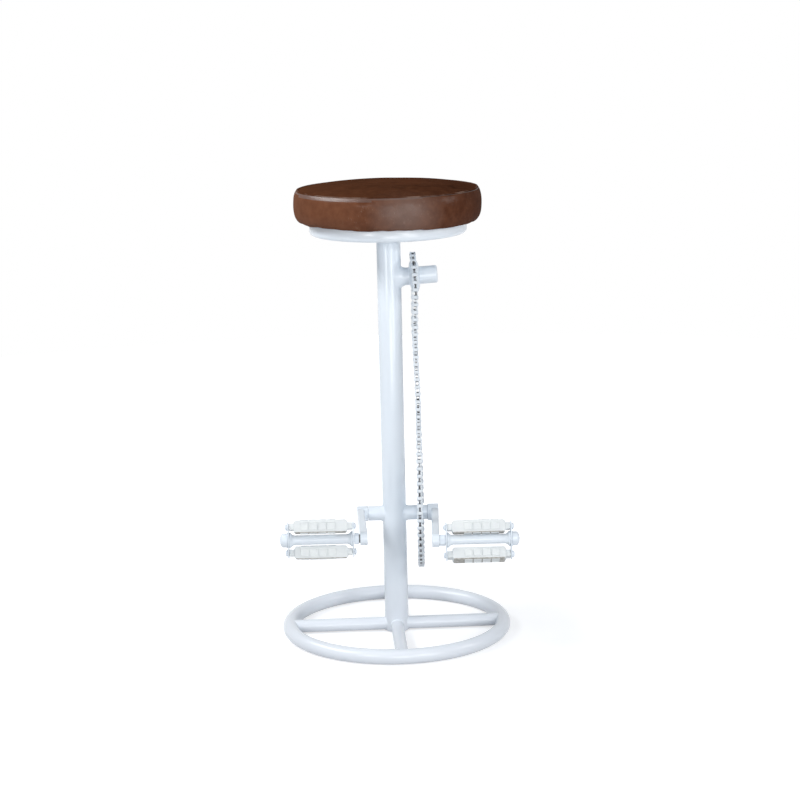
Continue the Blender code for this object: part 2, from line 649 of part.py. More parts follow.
def crank(name, side, pitch):
    cross_end = CROSS_RIGHT_X if side > 0 else CROSS_LEFT_X
    boss_inner = cross_end + side * GAP
    boss_outer = boss_inner + side * BOSS_WIDTH
    radius = (RIGHT_BOSS_DIAMETER if side > 0 else LEFT_BOSS_DIAMETER) / 2
    chamfer = min(BOSS_CHAMFER, radius - CROSS_TUBE / 2)
    axis_place = {"location": (boss_inner, 0, CRANK_AXIS_Z), "rotation": (0, side * math.pi / 2, 0)}
    boss = [(0, BOSS_WIDTH), (radius, BOSS_WIDTH), (radius, chamfer), (radius - chamfer, 0), (0, 0)]
    piece = turned(name, boss, WHITE_PAINT, TUBE_STEPS, **axis_place)

    eye_outer = eye_place(side)[0]
    at_eye = {"location": eye_place(side), "rotation": (0, side * math.pi / 2, 0)}
    eye = rod_cutter(name + "_eye", EYE_DIAMETER, -EYE_WIDTH, 0, TUBE_STEPS, **at_eye)

    bm = block((ARM_THICKNESS, CRANK_LENGTH, 1), (0, -CRANK_LENGTH / 2, 0))
    for vert in bm.verts:
        far = vert.co.y < -CRANK_LENGTH / 2
        height = ARM_EYE_HEIGHT if far else ARM_ROOT_HEIGHT
        outer = eye_outer if far else boss_outer
        vert.co.x += outer - side * (ARM_INSET + ARM_THICKNESS / 2)
        vert.co.z = math.copysign(height / 2, vert.co.z)
    arm_name = name + "_arm"
    arm_mesh = mesh_of(bm, arm_name)
    arm = as_cutter(add(
        arm_name, arm_mesh, WHITE_PAINT, location=(0, 0, CRANK_AXIS_Z), rotation=(-pitch, 0, 0)))
    rounding = arm.modifiers.new("edges", "BEVEL")
    rounding.width = ARM_EDGE
    rounding.segments = 2

    boolean(piece, arm, "UNION")
    boolean(piece, eye, "UNION")
    hole_end = BOSS_WIDTH + CRANK_SWEEP
    boolean(piece, rod_cutter(
        name + "_axle_hole", CRANK_AXLE + 2 * GAP, -hole_end, hole_end, SMALL_STEPS, **axis_place))
    boolean(piece, rod_cutter(
        name + "_pedal_hole", SPINDLE_THREAD + 2 * GAP, -2 * EYE_WIDTH, EYE_WIDTH, SMALL_STEPS, **at_eye))


def cranks():
    on_axis = {"location": (0, 0, CRANK_AXIS_Z), "rotation": TO_X_AXIS}
    profile = tube_profile(CROSS_TUBE, CROSS_WALL, CROSS_LEFT_X, CROSS_RIGHT_X)
    turned("crank_cross_tube", profile, WHITE_PAINT, TUBE_STEPS, ring=True, **on_axis)
    axle_left = CROSS_LEFT_X - GAP - BOSS_WIDTH
    axle_right = CROSS_RIGHT_X + GAP + BOSS_WIDTH
    turned("crank_axle", rod_profile(CRANK_AXLE, axle_left, axle_right), WHITE_PAINT, SMALL_STEPS, **on_axis)
    crank("crank_left", -1, LEFT_CRANK_PITCH)
    crank("crank_right", 1, RIGHT_CRANK_PITCH)


# Pedals
def pedal_plate(name, start, centre_hole, bolt_places, pedal):
    # The plate is drawn with its upper end at -X, which is turned to point up.
    upper, lower = bolt_places
    top = arc(PLATE_END_RADIUS, -math.pi / 2, math.pi / 2, 5, (-lower, 0))
    bottom = arc(PLATE_END_RADIUS, math.pi / 2, 3 * math.pi / 2, 5, (-upper, 0))
    edge = top + [(0, PLATE_CENTRE_WIDTH / 2)] + bottom + [(0, -PLATE_CENTRE_WIDTH / 2)]
    bolt_hole = BOLT_DIAMETER + 2 * GAP
    holes = [circle(centre_hole, SMALL_STEPS)]
    holes += [circle(bolt_hole, FASTENER_STEPS, (-place, 0)) for place in bolt_places]
    flat_piece(
        name, [edge] + holes, PEDAL_PLATE, WHITE_PAINT, parent=pedal,
        location=(start + PEDAL_PLATE / 2, 0, 0), rotation=TO_X_AXIS)


def hex_nut(name, flats, hole, start, height, material, parent, z):
    # The hole is the outline of the thread that it goes on.
    hexagon = circle(flats / math.cos(math.pi / 6), 6)
    flat_piece(
        name, [hexagon, hole], height, material, parent=parent,
        location=(start + height / 2, 0, z), rotation=TO_X_AXIS)


def rubber_block(name, z, turn, pedal):
    # A bar with cut corners at its ends, and a smaller boss that reaches each plate.
    middle_x = (PEDAL_BODY_START + PEDAL_BODY_END) / 2
    bm = block((BLOCK_LENGTH, BLOCK_DEPTH, BLOCK_HEIGHT), (0, 0, 0))
    ends = [edge for edge in bm.edges if abs(edge.verts[0].co.x - edge.verts[1].co.x) < GAP
            and abs(edge.verts[0].co.z - edge.verts[1].co.z) < GAP]
    bmesh.ops.bevel(bm, geom=ends, offset=BLOCK_CHAMFER, segments=1, profile=0.5, affect="EDGES")
    for direction in (-1, 1):
        end = max(bm.faces, key=lambda face: face.calc_center_median().x * direction)
        bmesh.ops.inset_individual(bm, faces=[end], thickness=BLOCK_EDGE)
        for vert in end.verts:
            vert.co.y = math.copysign(BLOCK_BOSS_DEPTH / 2, vert.co.y)
            vert.co.z = math.copysign(min(BLOCK_BOSS_HEIGHT, BLOCK_HEIGHT - 2 * BLOCK_CHAMFER) / 2, vert.co.z)
        raised = bmesh.ops.extrude_discrete_faces(bm, faces=[end])["faces"][0]
        for vert in raised.verts:
            vert.co.x = direction * PEDAL_BODY / 2
    mesh = mesh_of(bm, name)
    piece = add(
        name, mesh, WHITE_RUBBER, parent=pedal, location=(middle_x, 0, z), rotation=(turn, 0, 0))
    boolean(piece, rod_cutter(
        name + "_hole", BOLT_DIAMETER + 2 * GAP, PEDAL_START, OUTER_PLATE_END, FASTENER_STEPS,
        parent=pedal, location=(0, 0, z), rotation=TO_X_AXIS))


def pedal_spindle(name, axis_place):
    shaft = SPINDLE_SHAFT / 2
    shoulder = SPINDLE_SHOULDER / 2
    collar = SPINDLE_COLLAR / 2
    thread = SPINDLE_THREAD / 2
    collar_end = GAP + SPINDLE_COLLAR_WIDTH
    shoulder_end = PEDAL_BODY_START
    spindle_end = OUTER_PLATE_START + CONE_NUT_HEIGHT + SPINDLE_END_PAST_NUT
    profile = [(0, spindle_end), (shaft, spindle_end), (shaft, shoulder_end), (shoulder, shoulder_end)]
    profile += [(shoulder, collar_end), (collar, collar_end), (collar, GAP), (thread, GAP)]
    profile += [(thread, -EYE_WIDTH), (0, -EYE_WIDTH)]
    spindle = turned(name, profile, WHITE_PAINT, SMALL_STEPS, parent=axis_place, rotation=TO_X_AXIS)
    for side in (-1, 1):
        depth = SPINDLE_COLLAR - SPINDLE_FLATS
        middle = ((GAP + collar_end) / 2, side * (SPINDLE_FLATS + depth) / 2, 0)
        flat_name = f"{name}_flat_{'rear' if side > 0 else 'front'}"
        flat = block((SPINDLE_COLLAR_WIDTH - 2 * GAP, depth, 2 * SPINDLE_COLLAR), middle)
        boolean(spindle, as_cutter(add(flat_name, mesh_of(flat, flat_name), WHITE_PAINT, parent=axis_place)))


def pedal(side_name, side, tilt, block_turns, drop):
    # Everything hangs on an empty at the spindle's axis, with X pointing outward.
    facing = 0 if side > 0 else math.pi
    spindle_axis = bpy.data.objects.new(side_name + "_spindle_axis", None)
    pedal_axis = bpy.data.objects.new(side_name + "_pedal_axis", None)
    for axis, turn in ((spindle_axis, 0), (pedal_axis, -side * tilt)):
        STOOL.objects.link(axis)
        axis.location = eye_place(side)
        axis.rotation_euler = (turn, 0, facing)

    prefix = side_name + "_pedal_"
    pedal_spindle(prefix + "spindle", spindle_axis)
    spindle_hole = circle(SPINDLE_SHAFT + 2 * GAP, SMALL_STEPS)
    hex_nut(
        prefix + "cone_nut", CONE_NUT_FLATS, spindle_hole,
        OUTER_PLATE_START, CONE_NUT_HEIGHT, ZINC, spindle_axis, 0)

    flare = BARREL_FLARE / 2
    barrel = BARREL_DIAMETER / 2
    bore = BARREL_BORE / 2
    start, end = PEDAL_BODY_START, PEDAL_BODY_END
    outside = [(flare, end), (flare, end - FLARE_RIM), (barrel, end - FLARE_LENGTH)]
    outside += [(barrel, start + FLARE_LENGTH), (flare, start + FLARE_RIM), (flare, start)]
    inside = [(CUP_RADIUS, start), (CUP_RADIUS, start + CUP_DEPTH), (bore, start + CUP_DEPTH)]
    inside += [(bore, end - CUP_DEPTH), (CUP_RADIUS, end - CUP_DEPTH), (CUP_RADIUS, end)]
    on_axis = {"parent": pedal_axis, "rotation": TO_X_AXIS}
    turned(prefix + "barrel", outside + inside, WHITE_PAINT, SMALL_STEPS, ring=True, **on_axis)

    ball = BALL_DIAMETER / 2
    seat_depth = CUP_DEPTH - ball - BEARING_GAP
    for label, middle in (("inner", start + seat_depth), ("outer", end - seat_depth)):
        track = [(BALL_TRACK_RADIUS + ball * math.cos(a), middle + ball * math.sin(a))
                 for a in (math.pi / 2 - k * math.pi / 3 for k in range(6))]
        turned(prefix + label + "_bearing", track, ZINC, SMALL_STEPS, ring=True, **on_axis)

    bolt_places = (BLOCK_SPACING / 2 - drop, -BLOCK_SPACING / 2 - drop)
    shoulder_hole = SPINDLE_SHOULDER + 2 * PLATE_HOLE_CLEARANCE
    pedal_plate(prefix + "inner_plate", PEDAL_START, shoulder_hole, bolt_places, pedal_axis)
    cone_nut_corner = CONE_NUT_FLATS / math.cos(math.pi / 6)
    nut_hole = cone_nut_corner + 2 * PLATE_HOLE_CLEARANCE
    pedal_plate(prefix + "outer_plate", OUTER_PLATE_START, nut_hole, bolt_places, pedal_axis)

    head_start = OUTER_PLATE_END + GAP
    nut_start = PEDAL_START - GAP - NUT_HEIGHT
    bolt = [(0, head_start + BOLT_HEAD_HEIGHT), (BOLT_HEAD / 2, head_start + BOLT_HEAD_HEIGHT)]
    bolt += [(BOLT_HEAD / 2, head_start), (BOLT_DIAMETER / 2, head_start)]
    bolt += [(BOLT_DIAMETER / 2, nut_start - BOLT_STANDOUT), (0, nut_start - BOLT_STANDOUT)]
    for label, z, turn in zip(("upper", "lower"), bolt_places, block_turns):
        rubber_block(prefix + label + "_block", z, -side * turn, pedal_axis)
        turned(
            prefix + label + "_bolt", bolt, WHITE_PAINT, FASTENER_STEPS, parent=pedal_axis,
            location=(0, 0, z), rotation=TO_X_AXIS)
        bolt_hole = circle(BOLT_DIAMETER + 2 * GAP, FASTENER_STEPS)
        hex_nut(
            prefix + label + "_nut", NUT_FLATS, bolt_hole,
            nut_start, NUT_HEIGHT, WHITE_PAINT, pedal_axis, z)

    cap_start = OUTER_PLATE_END + GAP
    cap_end = cap_start + CAP_LENGTH
    radius = CAP_DIAMETER / 2
    dome = CAP_LENGTH / 2
    rounded = [(radius * c, cap_end - dome + dome * s) for c, s in arc(1, math.radians(60), 0, 3)]
    shell = [(0, cap_end)] + rounded + [(radius, cap_start)]
    hollow = offset(shell, CAP_WALL)
    hollow[0] = (0, cap_end - CAP_WALL)
    turned(prefix + "dust_cap", shell + hollow[::-1], WHITE_PAINT, SMALL_STEPS, **on_axis)


base()
column()
seat()
chain_drive()
cranks()
pedal("left", -1, LEFT_PEDAL_TILT, LEFT_BLOCK_TURNS, 0)
pedal("right", 1, RIGHT_PEDAL_TILT, RIGHT_BLOCK_TURNS, RIGHT_BLOCK_DROP)
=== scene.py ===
import json
import math

import bmesh
import bpy
from mathutils import Matrix, Vector, noise


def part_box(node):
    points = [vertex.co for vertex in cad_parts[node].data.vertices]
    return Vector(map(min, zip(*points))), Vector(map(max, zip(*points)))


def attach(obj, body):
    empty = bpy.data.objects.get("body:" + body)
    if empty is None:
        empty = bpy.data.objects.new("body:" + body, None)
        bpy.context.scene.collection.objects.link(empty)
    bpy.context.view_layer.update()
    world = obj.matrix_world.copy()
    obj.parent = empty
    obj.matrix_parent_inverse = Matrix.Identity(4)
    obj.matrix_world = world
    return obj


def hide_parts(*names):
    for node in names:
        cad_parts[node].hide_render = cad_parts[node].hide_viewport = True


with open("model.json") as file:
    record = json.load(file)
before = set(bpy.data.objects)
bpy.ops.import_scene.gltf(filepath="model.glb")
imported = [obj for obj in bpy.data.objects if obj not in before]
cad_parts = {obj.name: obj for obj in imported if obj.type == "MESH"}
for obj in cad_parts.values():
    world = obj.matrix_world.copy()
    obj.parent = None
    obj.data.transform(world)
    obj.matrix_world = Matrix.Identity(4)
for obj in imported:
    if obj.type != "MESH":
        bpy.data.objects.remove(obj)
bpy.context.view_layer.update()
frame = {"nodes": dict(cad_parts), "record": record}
scene = bpy.context.scene
print("frame loaded,", len(frame["nodes"]), "nodes")


# Small helpers for turning and for meshes
def turned(degrees, axis):
    return Matrix.Rotation(math.radians(degrees), 4, axis)


def meshFrom(bm, name):
    mesh = bpy.data.meshes.new(name)
    bm.to_mesh(mesh)
    bm.free()
    return mesh


def vertsOf(made):
    return [item for item in made if isinstance(item, bmesh.types.BMVert)]


def edgesOf(made):
    return [item for item in made if isinstance(item, bmesh.types.BMEdge)]


# Camera, where the photograph was taken from
viewpoint = {
    "place": (-0.0483, -3.5677, 1.1553),
    "turn": -1.0,       # degrees about the upright
    "down": 11.741,
    "roll": -1.252,
    "lens": 94.97,
    "sensor": 36.0,
}


def placeCamera():
    data = bpy.data.cameras.new("photoCamera")
    data.lens = viewpoint["lens"]
    data.sensor_width = viewpoint["sensor"]
    camera = bpy.data.objects.new("photoCamera", data)
    heading = turned(viewpoint["turn"], "Z") @ turned(90 - viewpoint["down"], "X")
    camera.matrix_world = Matrix.Translation(viewpoint["place"]) @ heading @ turned(viewpoint["roll"], "Z")
    scene.collection.objects.link(camera)
    scene.camera = camera


placeCamera()


# Small helpers for shader nodes
def addNode(tree, kind, inputs=None, **settings):
    node = tree.nodes.new(kind)
    for key, value in settings.items():
        setattr(node, key, value)
    for key, value in (inputs or {}).items():
        socket = node.inputs[key]
        if isinstance(value, bpy.types.NodeSocket):
            tree.links.new(value, socket)
        else:
            socket.default_value = value
    return node


def startFinish(name):
    finish = bpy.data.materials.new(name)
    finish.use_nodes = True
    tree = finish.node_tree
    coords = addNode(tree, "ShaderNodeTexCoord").outputs["Object"]
    return finish, tree, tree.nodes["Principled BSDF"], coords


def setShader(tree, shader, **values):
    for key, value in values.items():
        socket = shader.inputs[key.replace("_", " ")]
        if isinstance(value, bpy.types.NodeSocket):
            tree.links.new(value, socket)
        else:
            socket.default_value = value


def speckle(tree, coords, scale, detail=2.0, rough=0.5, kind="FBM"):
    inputs = {"Vector": coords, "Scale": scale, "Detail": detail, "Roughness": rough}
    return addNode(tree, "ShaderNodeTexNoise", inputs, noise_type=kind).outputs["Fac"]


def stretched(tree, coords, scale):
    return addNode(tree, "ShaderNodeMapping", {"Vector": coords, "Scale": scale}).outputs["Vector"]


def remap(tree, value, low, high, toLow=0.0, toHigh=1.0):
    inputs = {"Value": value, "From Min": low, "From Max": high, "To Min": toLow, "To Max": toHigh}
    return addNode(tree, "ShaderNodeMapRange", inputs).outputs["Result"]


def math2(tree, operation, first, second):
    return addNode(tree, "ShaderNodeMath", {0: first, 1: second}, operation=operation).outputs["Value"]


def mixColor(tree, factor, first, second):
    node = addNode(tree, "ShaderNodeMix", {0: factor, 6: first, 7: second}, data_type="RGBA")
    return node.outputs[2]


def addBump(tree, height, strength, distance, normal=None):
    inputs = {"Height": height, "Strength": strength, "Distance": distance}
    if normal is not None:
        inputs["Normal"] = normal
    return addNode(tree, "ShaderNodeBump", inputs).outputs["Normal"]


# Stage: a white floor that keeps the stool's shadow, and a white surround
stage = {
    "floorRadius": 3.0,
    "floorSides": 96,
    "floorLight": (0.62, 0.63, 0.65, 1),
    "floorGrain": (0.64, 0.65, 0.67, 1),
    "grainScale": 30,
    "floorBounce": (0.54, 0.545, 0.56, 1),  # what the floor gives back to the stool
    "floorLift": 0.58,                     # brings the lit floor up to white for the camera
    "fadeFrom": 0.30,                      # metres from the upright where the shadow starts to fade out
    "fadeTo": 0.9,
    "surround": (0.80, 0.87, 0.95, 1),
    "surroundLevel": 0.235,
}


def seenRays(tree):
    paths = addNode(tree, "ShaderNodeLightPath").outputs
    some = math2(tree, "ADD", paths["Is Camera Ray"], paths["Is Glossy Ray"])
    return math2(tree, "MINIMUM", math2(tree, "ADD", some, paths["Is Transmission Ray"]), 1.0)


def makeWorld():
    world = bpy.data.worlds.new("paleSurround")
    world.use_nodes = True
    tree = world.node_tree
    background = tree.nodes["Background"]
    seen = seenRays(tree)
    color = mixColor(tree, seen, stage["surround"], (1, 1, 1, 1))
    tree.links.new(color, background.inputs["Color"])
    level = remap(tree, seen, 0, 1, stage["surroundLevel"], 1.0)
    tree.links.new(level, background.inputs["Strength"])
    scene.world = world


def makeFloor():
    finish, tree, shader, coords = startFinish("whiteFloor")
    grain = speckle(tree, coords, stage["grainScale"])
    tint = mixColor(tree, grain, stage["floorLight"], stage["floorGrain"])
    seen = seenRays(tree)
    tint = mixColor(tree, seen, stage["floorBounce"], tint)
    setShader(tree, shader, Base_Color=tint, Roughness=0.9, Specular_IOR_Level=0.0)
    away = addNode(tree, "ShaderNodeVectorMath", {0: coords}, operation="LENGTH").outputs["Value"]
    fade = remap(tree, away, stage["fadeFrom"], stage["fadeTo"], stage["floorLift"], 1.0)
    lift = addNode(tree, "ShaderNodeEmission", {"Strength": math2(tree, "MULTIPLY", fade, seen)})
    both = addNode(tree, "ShaderNodeAddShader", {0: shader.outputs[0], 1: lift.outputs[0]})
    tree.links.new(both.outputs[0], tree.nodes["Material Output"].inputs["Surface"])
    bm = bmesh.new()
    bmesh.ops.create_circle(bm, cap_ends=True, segments=stage["floorSides"], radius=stage["floorRadius"])
    mesh = meshFrom(bm, "floor")
    mesh.materials.append(finish)
    floor = bpy.data.objects.new("floor", mesh)
    scene.collection.objects.link(floor)


# Lamps stand round the stool; level is the light each throws on a card that faces it
lampAim = Vector((0, 0, 0.40))
lamps = {
    "window": {"azimuth": -70, "elevation": 45, "distance": 2.6, "size": (1.4, 0.32), "level": 0.18},
    "sideWindow": {"azimuth": -91, "elevation": 38, "distance": 2.6, "size": (2.2, 0.5), "level": 0.45},
    "leftSoftbox": {"azimuth": -28, "elevation": 16, "distance": 2.7, "size": (0.45, 0.40), "level": 0.125},
    "rightSoftbox": {"azimuth": 24, "elevation": 16, "distance": 2.7, "size": (0.45, 0.40), "level": 0.11},
    "frontFill": {"azimuth": 32, "elevation": 6, "distance": 2.9, "size": (0.8, 0.8), "level": 0.14},
    "lowFront": {"azimuth": 4, "elevation": 2, "distance": 2.9, "size": (1.0, 0.5), "level": 0.19},
    "rightSide": {"azimuth": 78, "elevation": 22, "distance": 2.7, "size": (0.6, 0.6), "level": 0.17},
    "overhead": {"azimuth": 0, "elevation": 82, "distance": 2.6, "size": (1.6, 1.6), "level": 0.085},
}


def makeLamps():
    for name, lamp in lamps.items():
        data = bpy.data.lights.new(name, "AREA")
        data.shape = "RECTANGLE"
        data.size, data.size_y = lamp["size"]
        data.energy = math.pi ** 2 * lamp["level"] * lamp["distance"] ** 2
        back = turned(lamp["azimuth"], "Z") @ turned(-lamp["elevation"], "X") @ Vector((0, -1, 0))
        holder = bpy.data.objects.new(name, data)
        holder.location = lampAim + back * lamp["distance"]
        holder.rotation_euler = back.to_track_quat("Z", "Y").to_euler()
        scene.collection.objects.link(holder)


scene.view_settings.view_transform = "Standard"
makeWorld()
makeFloor()
makeLamps()
print("camera, lamps and floor placed")


# Finishes
enamel = {
    "pale": (0.80, 0.862, 0.925, 1),
    "deep": (0.782, 0.846, 0.912, 1),
    "low": (0.805, 0.845, 0.905, 1),     # near the floor
    "bareSteel": (0.10, 0.095, 0.09, 1),
    "roughness": 0.24,
}


def chipMask(tree, coords, cell, size, share):
    # sparse round chips: one may sit in each cell, and only a share of the cells has one
    cells = addNode(tree, "ShaderNodeTexVoronoi", {"Vector": coords, "Scale": cell}).outputs
    wobble = math2(tree, "MULTIPLY", speckle(tree, coords, cell * 30), size)
    near = remap(tree, math2(tree, "ADD", cells["Distance"], wobble), size * 0.9, size * 1.5, 1.0, 0.0)
    pick = addNode(tree, "ShaderNodeSeparateColor", {"Color": cells["Color"]}).outputs["Red"]
    chosen = remap(tree, pick, 1 - share, 1 - share + 0.001)
    return math2(tree, "MULTIPLY", near, chosen)


def whiteEnamel():
    finish, tree, shader, coords = startFinish("whiteEnamel")
    drift = remap(tree, speckle(tree, coords, 9, 3), 0.35, 0.65)
    color = mixColor(tree, drift, enamel["pale"], enamel["deep"])
    height = addNode(tree, "ShaderNodeSeparateXYZ", {"Vector": coords}).outputs["Z"]
    color = mixColor(tree, remap(tree, height, 0.02, 0.12, 0.8, 0.0), color, enamel["low"])
    chips = chipMask(tree, coords, 48, 0.036, 0.06)
    color = mixColor(tree, chips, color, enamel["bareSteel"])
    sag = addBump(tree, speckle(tree, coords, 50, 2), 0.02, 0.0010)
    peel = addBump(tree, speckle(tree, coords, 850, 2), 0.03, 0.0003, sag)
    setShader(tree, shader, Base_Color=color, Roughness=enamel["roughness"], Normal=peel, IOR=1.5)
    return finish


chainLook = {
    "paint": (0.80, 0.85, 0.90, 1),
    "worn": (0.62, 0.655, 0.69, 1),
    "oiled": (0.055, 0.055, 0.058, 1),
    "film": (0.16, 0.16, 0.165, 1),
}


def chainEnamel():
    finish, tree, shader, coords = startFinish("chainEnamel")
    worn = remap(tree, speckle(tree, coords, 160, 4, 0.6), 0.55, 0.75)
    color = mixColor(tree, worn, chainLook["paint"], chainLook["worn"])
    chips = chipMask(tree, coords, 210, 0.13, 0.07)
    color = mixColor(tree, chips, color, chainLook["oiled"])
    rough = remap(tree, worn, 0, 1, 0.30, 0.55)
    lumps = addBump(tree, speckle(tree, coords, 420, 3), 0.35, 0.0005)
    setShader(tree, shader, Base_Color=color, Roughness=rough, Normal=lumps)
    return finish


# dark oily steel, which on the chain's insides also stands in for shade
def oiledSteelAndShade():
    finish, tree, shader, coords = startFinish("oiledSteelAndShade")
    film = speckle(tree, coords, 350, 4, 0.65)
    color = mixColor(tree, film, chainLook["oiled"], chainLook["film"])
    # in places the paint has run in between the links
    painted = remap(tree, speckle(tree, coords, 38, 3), 0.44, 0.60, 0.0, 0.45)
    color = mixColor(tree, painted, color, chainLook["worn"])
    rough = remap(tree, film, 0.3, 0.7, 0.35, 0.6)
    setShader(tree, shader, Base_Color=color, Roughness=rough, Metallic=0.7)
    return finish


leatherLook = {
    "side": {
        "dark": (0.058, 0.0165, 0.0064, 1),
        "mid": (0.108, 0.0350, 0.0150, 1),
        "light": (0.225, 0.090, 0.046, 1),
        "wax": 0.045,
        "waxRough": 0.20,
        "paintedShade": 0.65,       # painted shade on the chain's side
        "sheenShare": 0.48,
    },
    "top": {
        "dark": (0.047, 0.0158, 0.0075, 1),
        "mid": (0.091, 0.0300, 0.0138, 1),
        "light": (0.150, 0.056, 0.025, 1),
        "wax": 0.004,        # sat on, so the top has lost its wax
        "waxRough": 0.20,
        "paintedShade": 0.0,
        "sheenShare": 0.06,
    },
    # the roll under the seam keeps its wax, which deepens the leather below it
    "edge": {
        "dark": (0.032, 0.0075, 0.0025, 1),
        "mid": (0.064, 0.0185, 0.0070, 1),
        "light": (0.145, 0.050, 0.022, 1),
        "wax": 0.38,
        "waxRough": 0.30,
        "paintedShade": 0.65,
        "sheenShare": 0.30,
    },
    "scuff": (0.34, 0.23, 0.18, 1),
    # pale grey of the painted sheen laid over the rubbed patch
    "paintedSheen": (0.24, 0.178, 0.155, 1),
    "sheenAndScuffsAt": (0.030, -0.155, 0.752),
    "grain": 620,
    "waxIor": 2.2,
}


def brownLeather(place):
    look = leatherLook[place]
    finish, tree, shader, coords = startFinish("brownLeather." + place)
    clouds = remap(tree, speckle(tree, coords, 11, 5, 0.6), 0.34, 0.68)
    mottle = remap(tree, speckle(tree, coords, 70, 4, 0.6), 0.35, 0.7)
    color = mixColor(tree, clouds, look["dark"], look["mid"])
    color = mixColor(tree, math2(tree, "MULTIPLY", mottle, 0.4), color, look["light"])
    # painted light: the side that faces the window is painted lighter
    across = addNode(tree, "ShaderNodeSeparateXYZ", {"Vector": coords}).outputs["X"]
    color = mixColor(tree, remap(tree, across, -0.15, 0.10, 0.46, 0.0), color, look["light"])
    # painted shade on the chain's side, away from the window
    color = mixColor(tree, remap(tree, across, 0.06, 0.16, 0.0, look["paintedShade"]), color, look["dark"])
    # a rubbed patch at the front holds fine pale scratches and a painted sheen
    spot = {0: coords, 1: leatherLook["sheenAndScuffsAt"]}
    away = addNode(tree, "ShaderNodeVectorMath", spot, operation="DISTANCE").outputs["Value"]
    sheenAndScuffs = remap(tree, away, 0.010, 0.070, 1.0, 0.0)
    color = mixColor(tree, math2(tree, "MULTIPLY", sheenAndScuffs, look["sheenShare"]), color, leatherLook["paintedSheen"])
    patches = remap(tree, speckle(tree, coords, 16, 3), 0.48, 0.66)
    patches = math2(tree, "MAXIMUM", patches, sheenAndScuffs)
    hairs = remap(tree, speckle(tree, stretched(tree, coords, (1, 1, 0.35)), 330, 5, 0.7), 0.60, 0.73)
    scuffs = math2(tree, "MULTIPLY", math2(tree, "MULTIPLY", patches, hairs), 0.6)
    color = mixColor(tree, scuffs, color, leatherLook["scuff"])
    # the fold along the seam is rubbed pale in places
    fold = addNode(tree, "ShaderNodeAttribute", attribute_name="seamFold").outputs["Fac"]
    fold = remap(tree, fold, 0.72, 0.95)
    worn = remap(tree, speckle(tree, coords, 26, 3), 0.42, 0.62)
    fold = math2(tree, "MULTIPLY", math2(tree, "MULTIPLY", fold, worn), 0.6)
    color = mixColor(tree, fold, color, leatherLook["scuff"])
    cells = addNode(tree, "ShaderNodeTexVoronoi", {"Vector": coords, "Scale": leatherLook["grain"]})
    pores = cells.outputs["Distance"]
    crease = speckle(tree, coords, 95, 4, 0.65, "RIDGED_MULTIFRACTAL")
    rough = remap(tree, mottle, 0, 1, 0.55, 0.7)
    rough = math2(tree, "ADD", rough, math2(tree, "MULTIPLY", scuffs, 0.2))
    folds = addBump(tree, crease, 0.10, 0.0010)
    grain = addBump(tree, pores, 0.30, 0.0004, folds)
    setShader(
        tree, shader, Base_Color=color, Roughness=rough, Normal=grain, Specular_IOR_Level=0.0,
        Coat_Weight=look["wax"], Coat_Roughness=look["waxRough"], Coat_IOR=leatherLook["waxIor"],
        Coat_Normal=grain)
    return finish


rubberLook = {
    "pale": (0.80, 0.83, 0.83, 1),
    "deep": (0.76, 0.79, 0.80, 1),
    "dust": (0.60, 0.59, 0.555, 1),
    "bare": (0.38, 0.365, 0.335, 1),     # painted shade on the undersides, as unpainted rubber
}


def whiteRubber():
    finish, tree, shader, coords = startFinish("whiteRubber")
    drift = remap(tree, speckle(tree, coords, 45, 3), 0.35, 0.65)
    color = mixColor(tree, drift, rubberLook["pale"], rubberLook["deep"])
    dust = remap(tree, speckle(tree, coords, 260, 4, 0.65), 0.6, 0.8)
    color = mixColor(tree, math2(tree, "MULTIPLY", dust, 0.2), color, rubberLook["dust"])
    rough = remap(tree, drift, 0, 1, 0.42, 0.55)
    skin = addBump(tree, speckle(tree, coords, 1400, 2), 0.12, 0.0002)
    setShader(tree, shader, Base_Color=color, Roughness=rough, Normal=skin, Specular_IOR_Level=0.35)
    return finish


# unpainted rubber of the undersides, kept dark as painted shade
def bareRubber():
    finish, tree, shader, coords = startFinish("bareRubber")
    spray = remap(tree, speckle(tree, coords, 190, 4, 0.6), 0.42, 0.66)
    color = mixColor(tree, spray, rubberLook["bare"], rubberLook["dust"])
    skin = addBump(tree, speckle(tree, coords, 900, 2), 0.15, 0.0002)
    setShader(tree, shader, Base_Color=color, Roughness=remap(tree, spray, 0, 1, 0.75, 0.6), Normal=skin)
    return finish


hiddenLook = {
    "plywood": ((0.42, 0.27, 0.14, 1), (0.66, 0.48, 0.29, 1)),
    "foam": ((0.62, 0.55, 0.36, 1), (0.82, 0.76, 0.56, 1)),
    "foamCells": 700,
    "zinc": ((0.52, 0.53, 0.55, 1), (0.70, 0.71, 0.72, 1)),
}


def plywood():
    finish, tree, shader, coords = startFinish("plywood")
    fibres = speckle(tree, stretched(tree, coords, (4, 60, 60)), 3, 5, 0.6)
    color = mixColor(tree, fibres, *hiddenLook["plywood"])
    setShader(tree, shader, Base_Color=color, Roughness=0.7, Normal=addBump(tree, fibres, 0.2, 0.0004))
    return finish


def yellowFoam():
    finish, tree, shader, coords = startFinish("yellowFoam")
    inputs = {"Vector": coords, "Scale": hiddenLook["foamCells"]}
    cells = addNode(tree, "ShaderNodeTexVoronoi", inputs).outputs["Distance"]
    color = mixColor(tree, cells, *hiddenLook["foam"])
    setShader(tree, shader, Base_Color=color, Roughness=0.95, Normal=addBump(tree, cells, 0.5, 0.0006))
    return finish


def zincSteel():
    finish, tree, shader, coords = startFinish("zincSteel")
    bloom = speckle(tree, coords, 300, 4, 0.6)
    color = mixColor(tree, bloom, *hiddenLook["zinc"])
    rough = remap(tree, bloom, 0.3, 0.7, 0.28, 0.45)
    setShader(tree, shader, Base_Color=color, Roughness=rough, Metallic=1.0)
    return finish


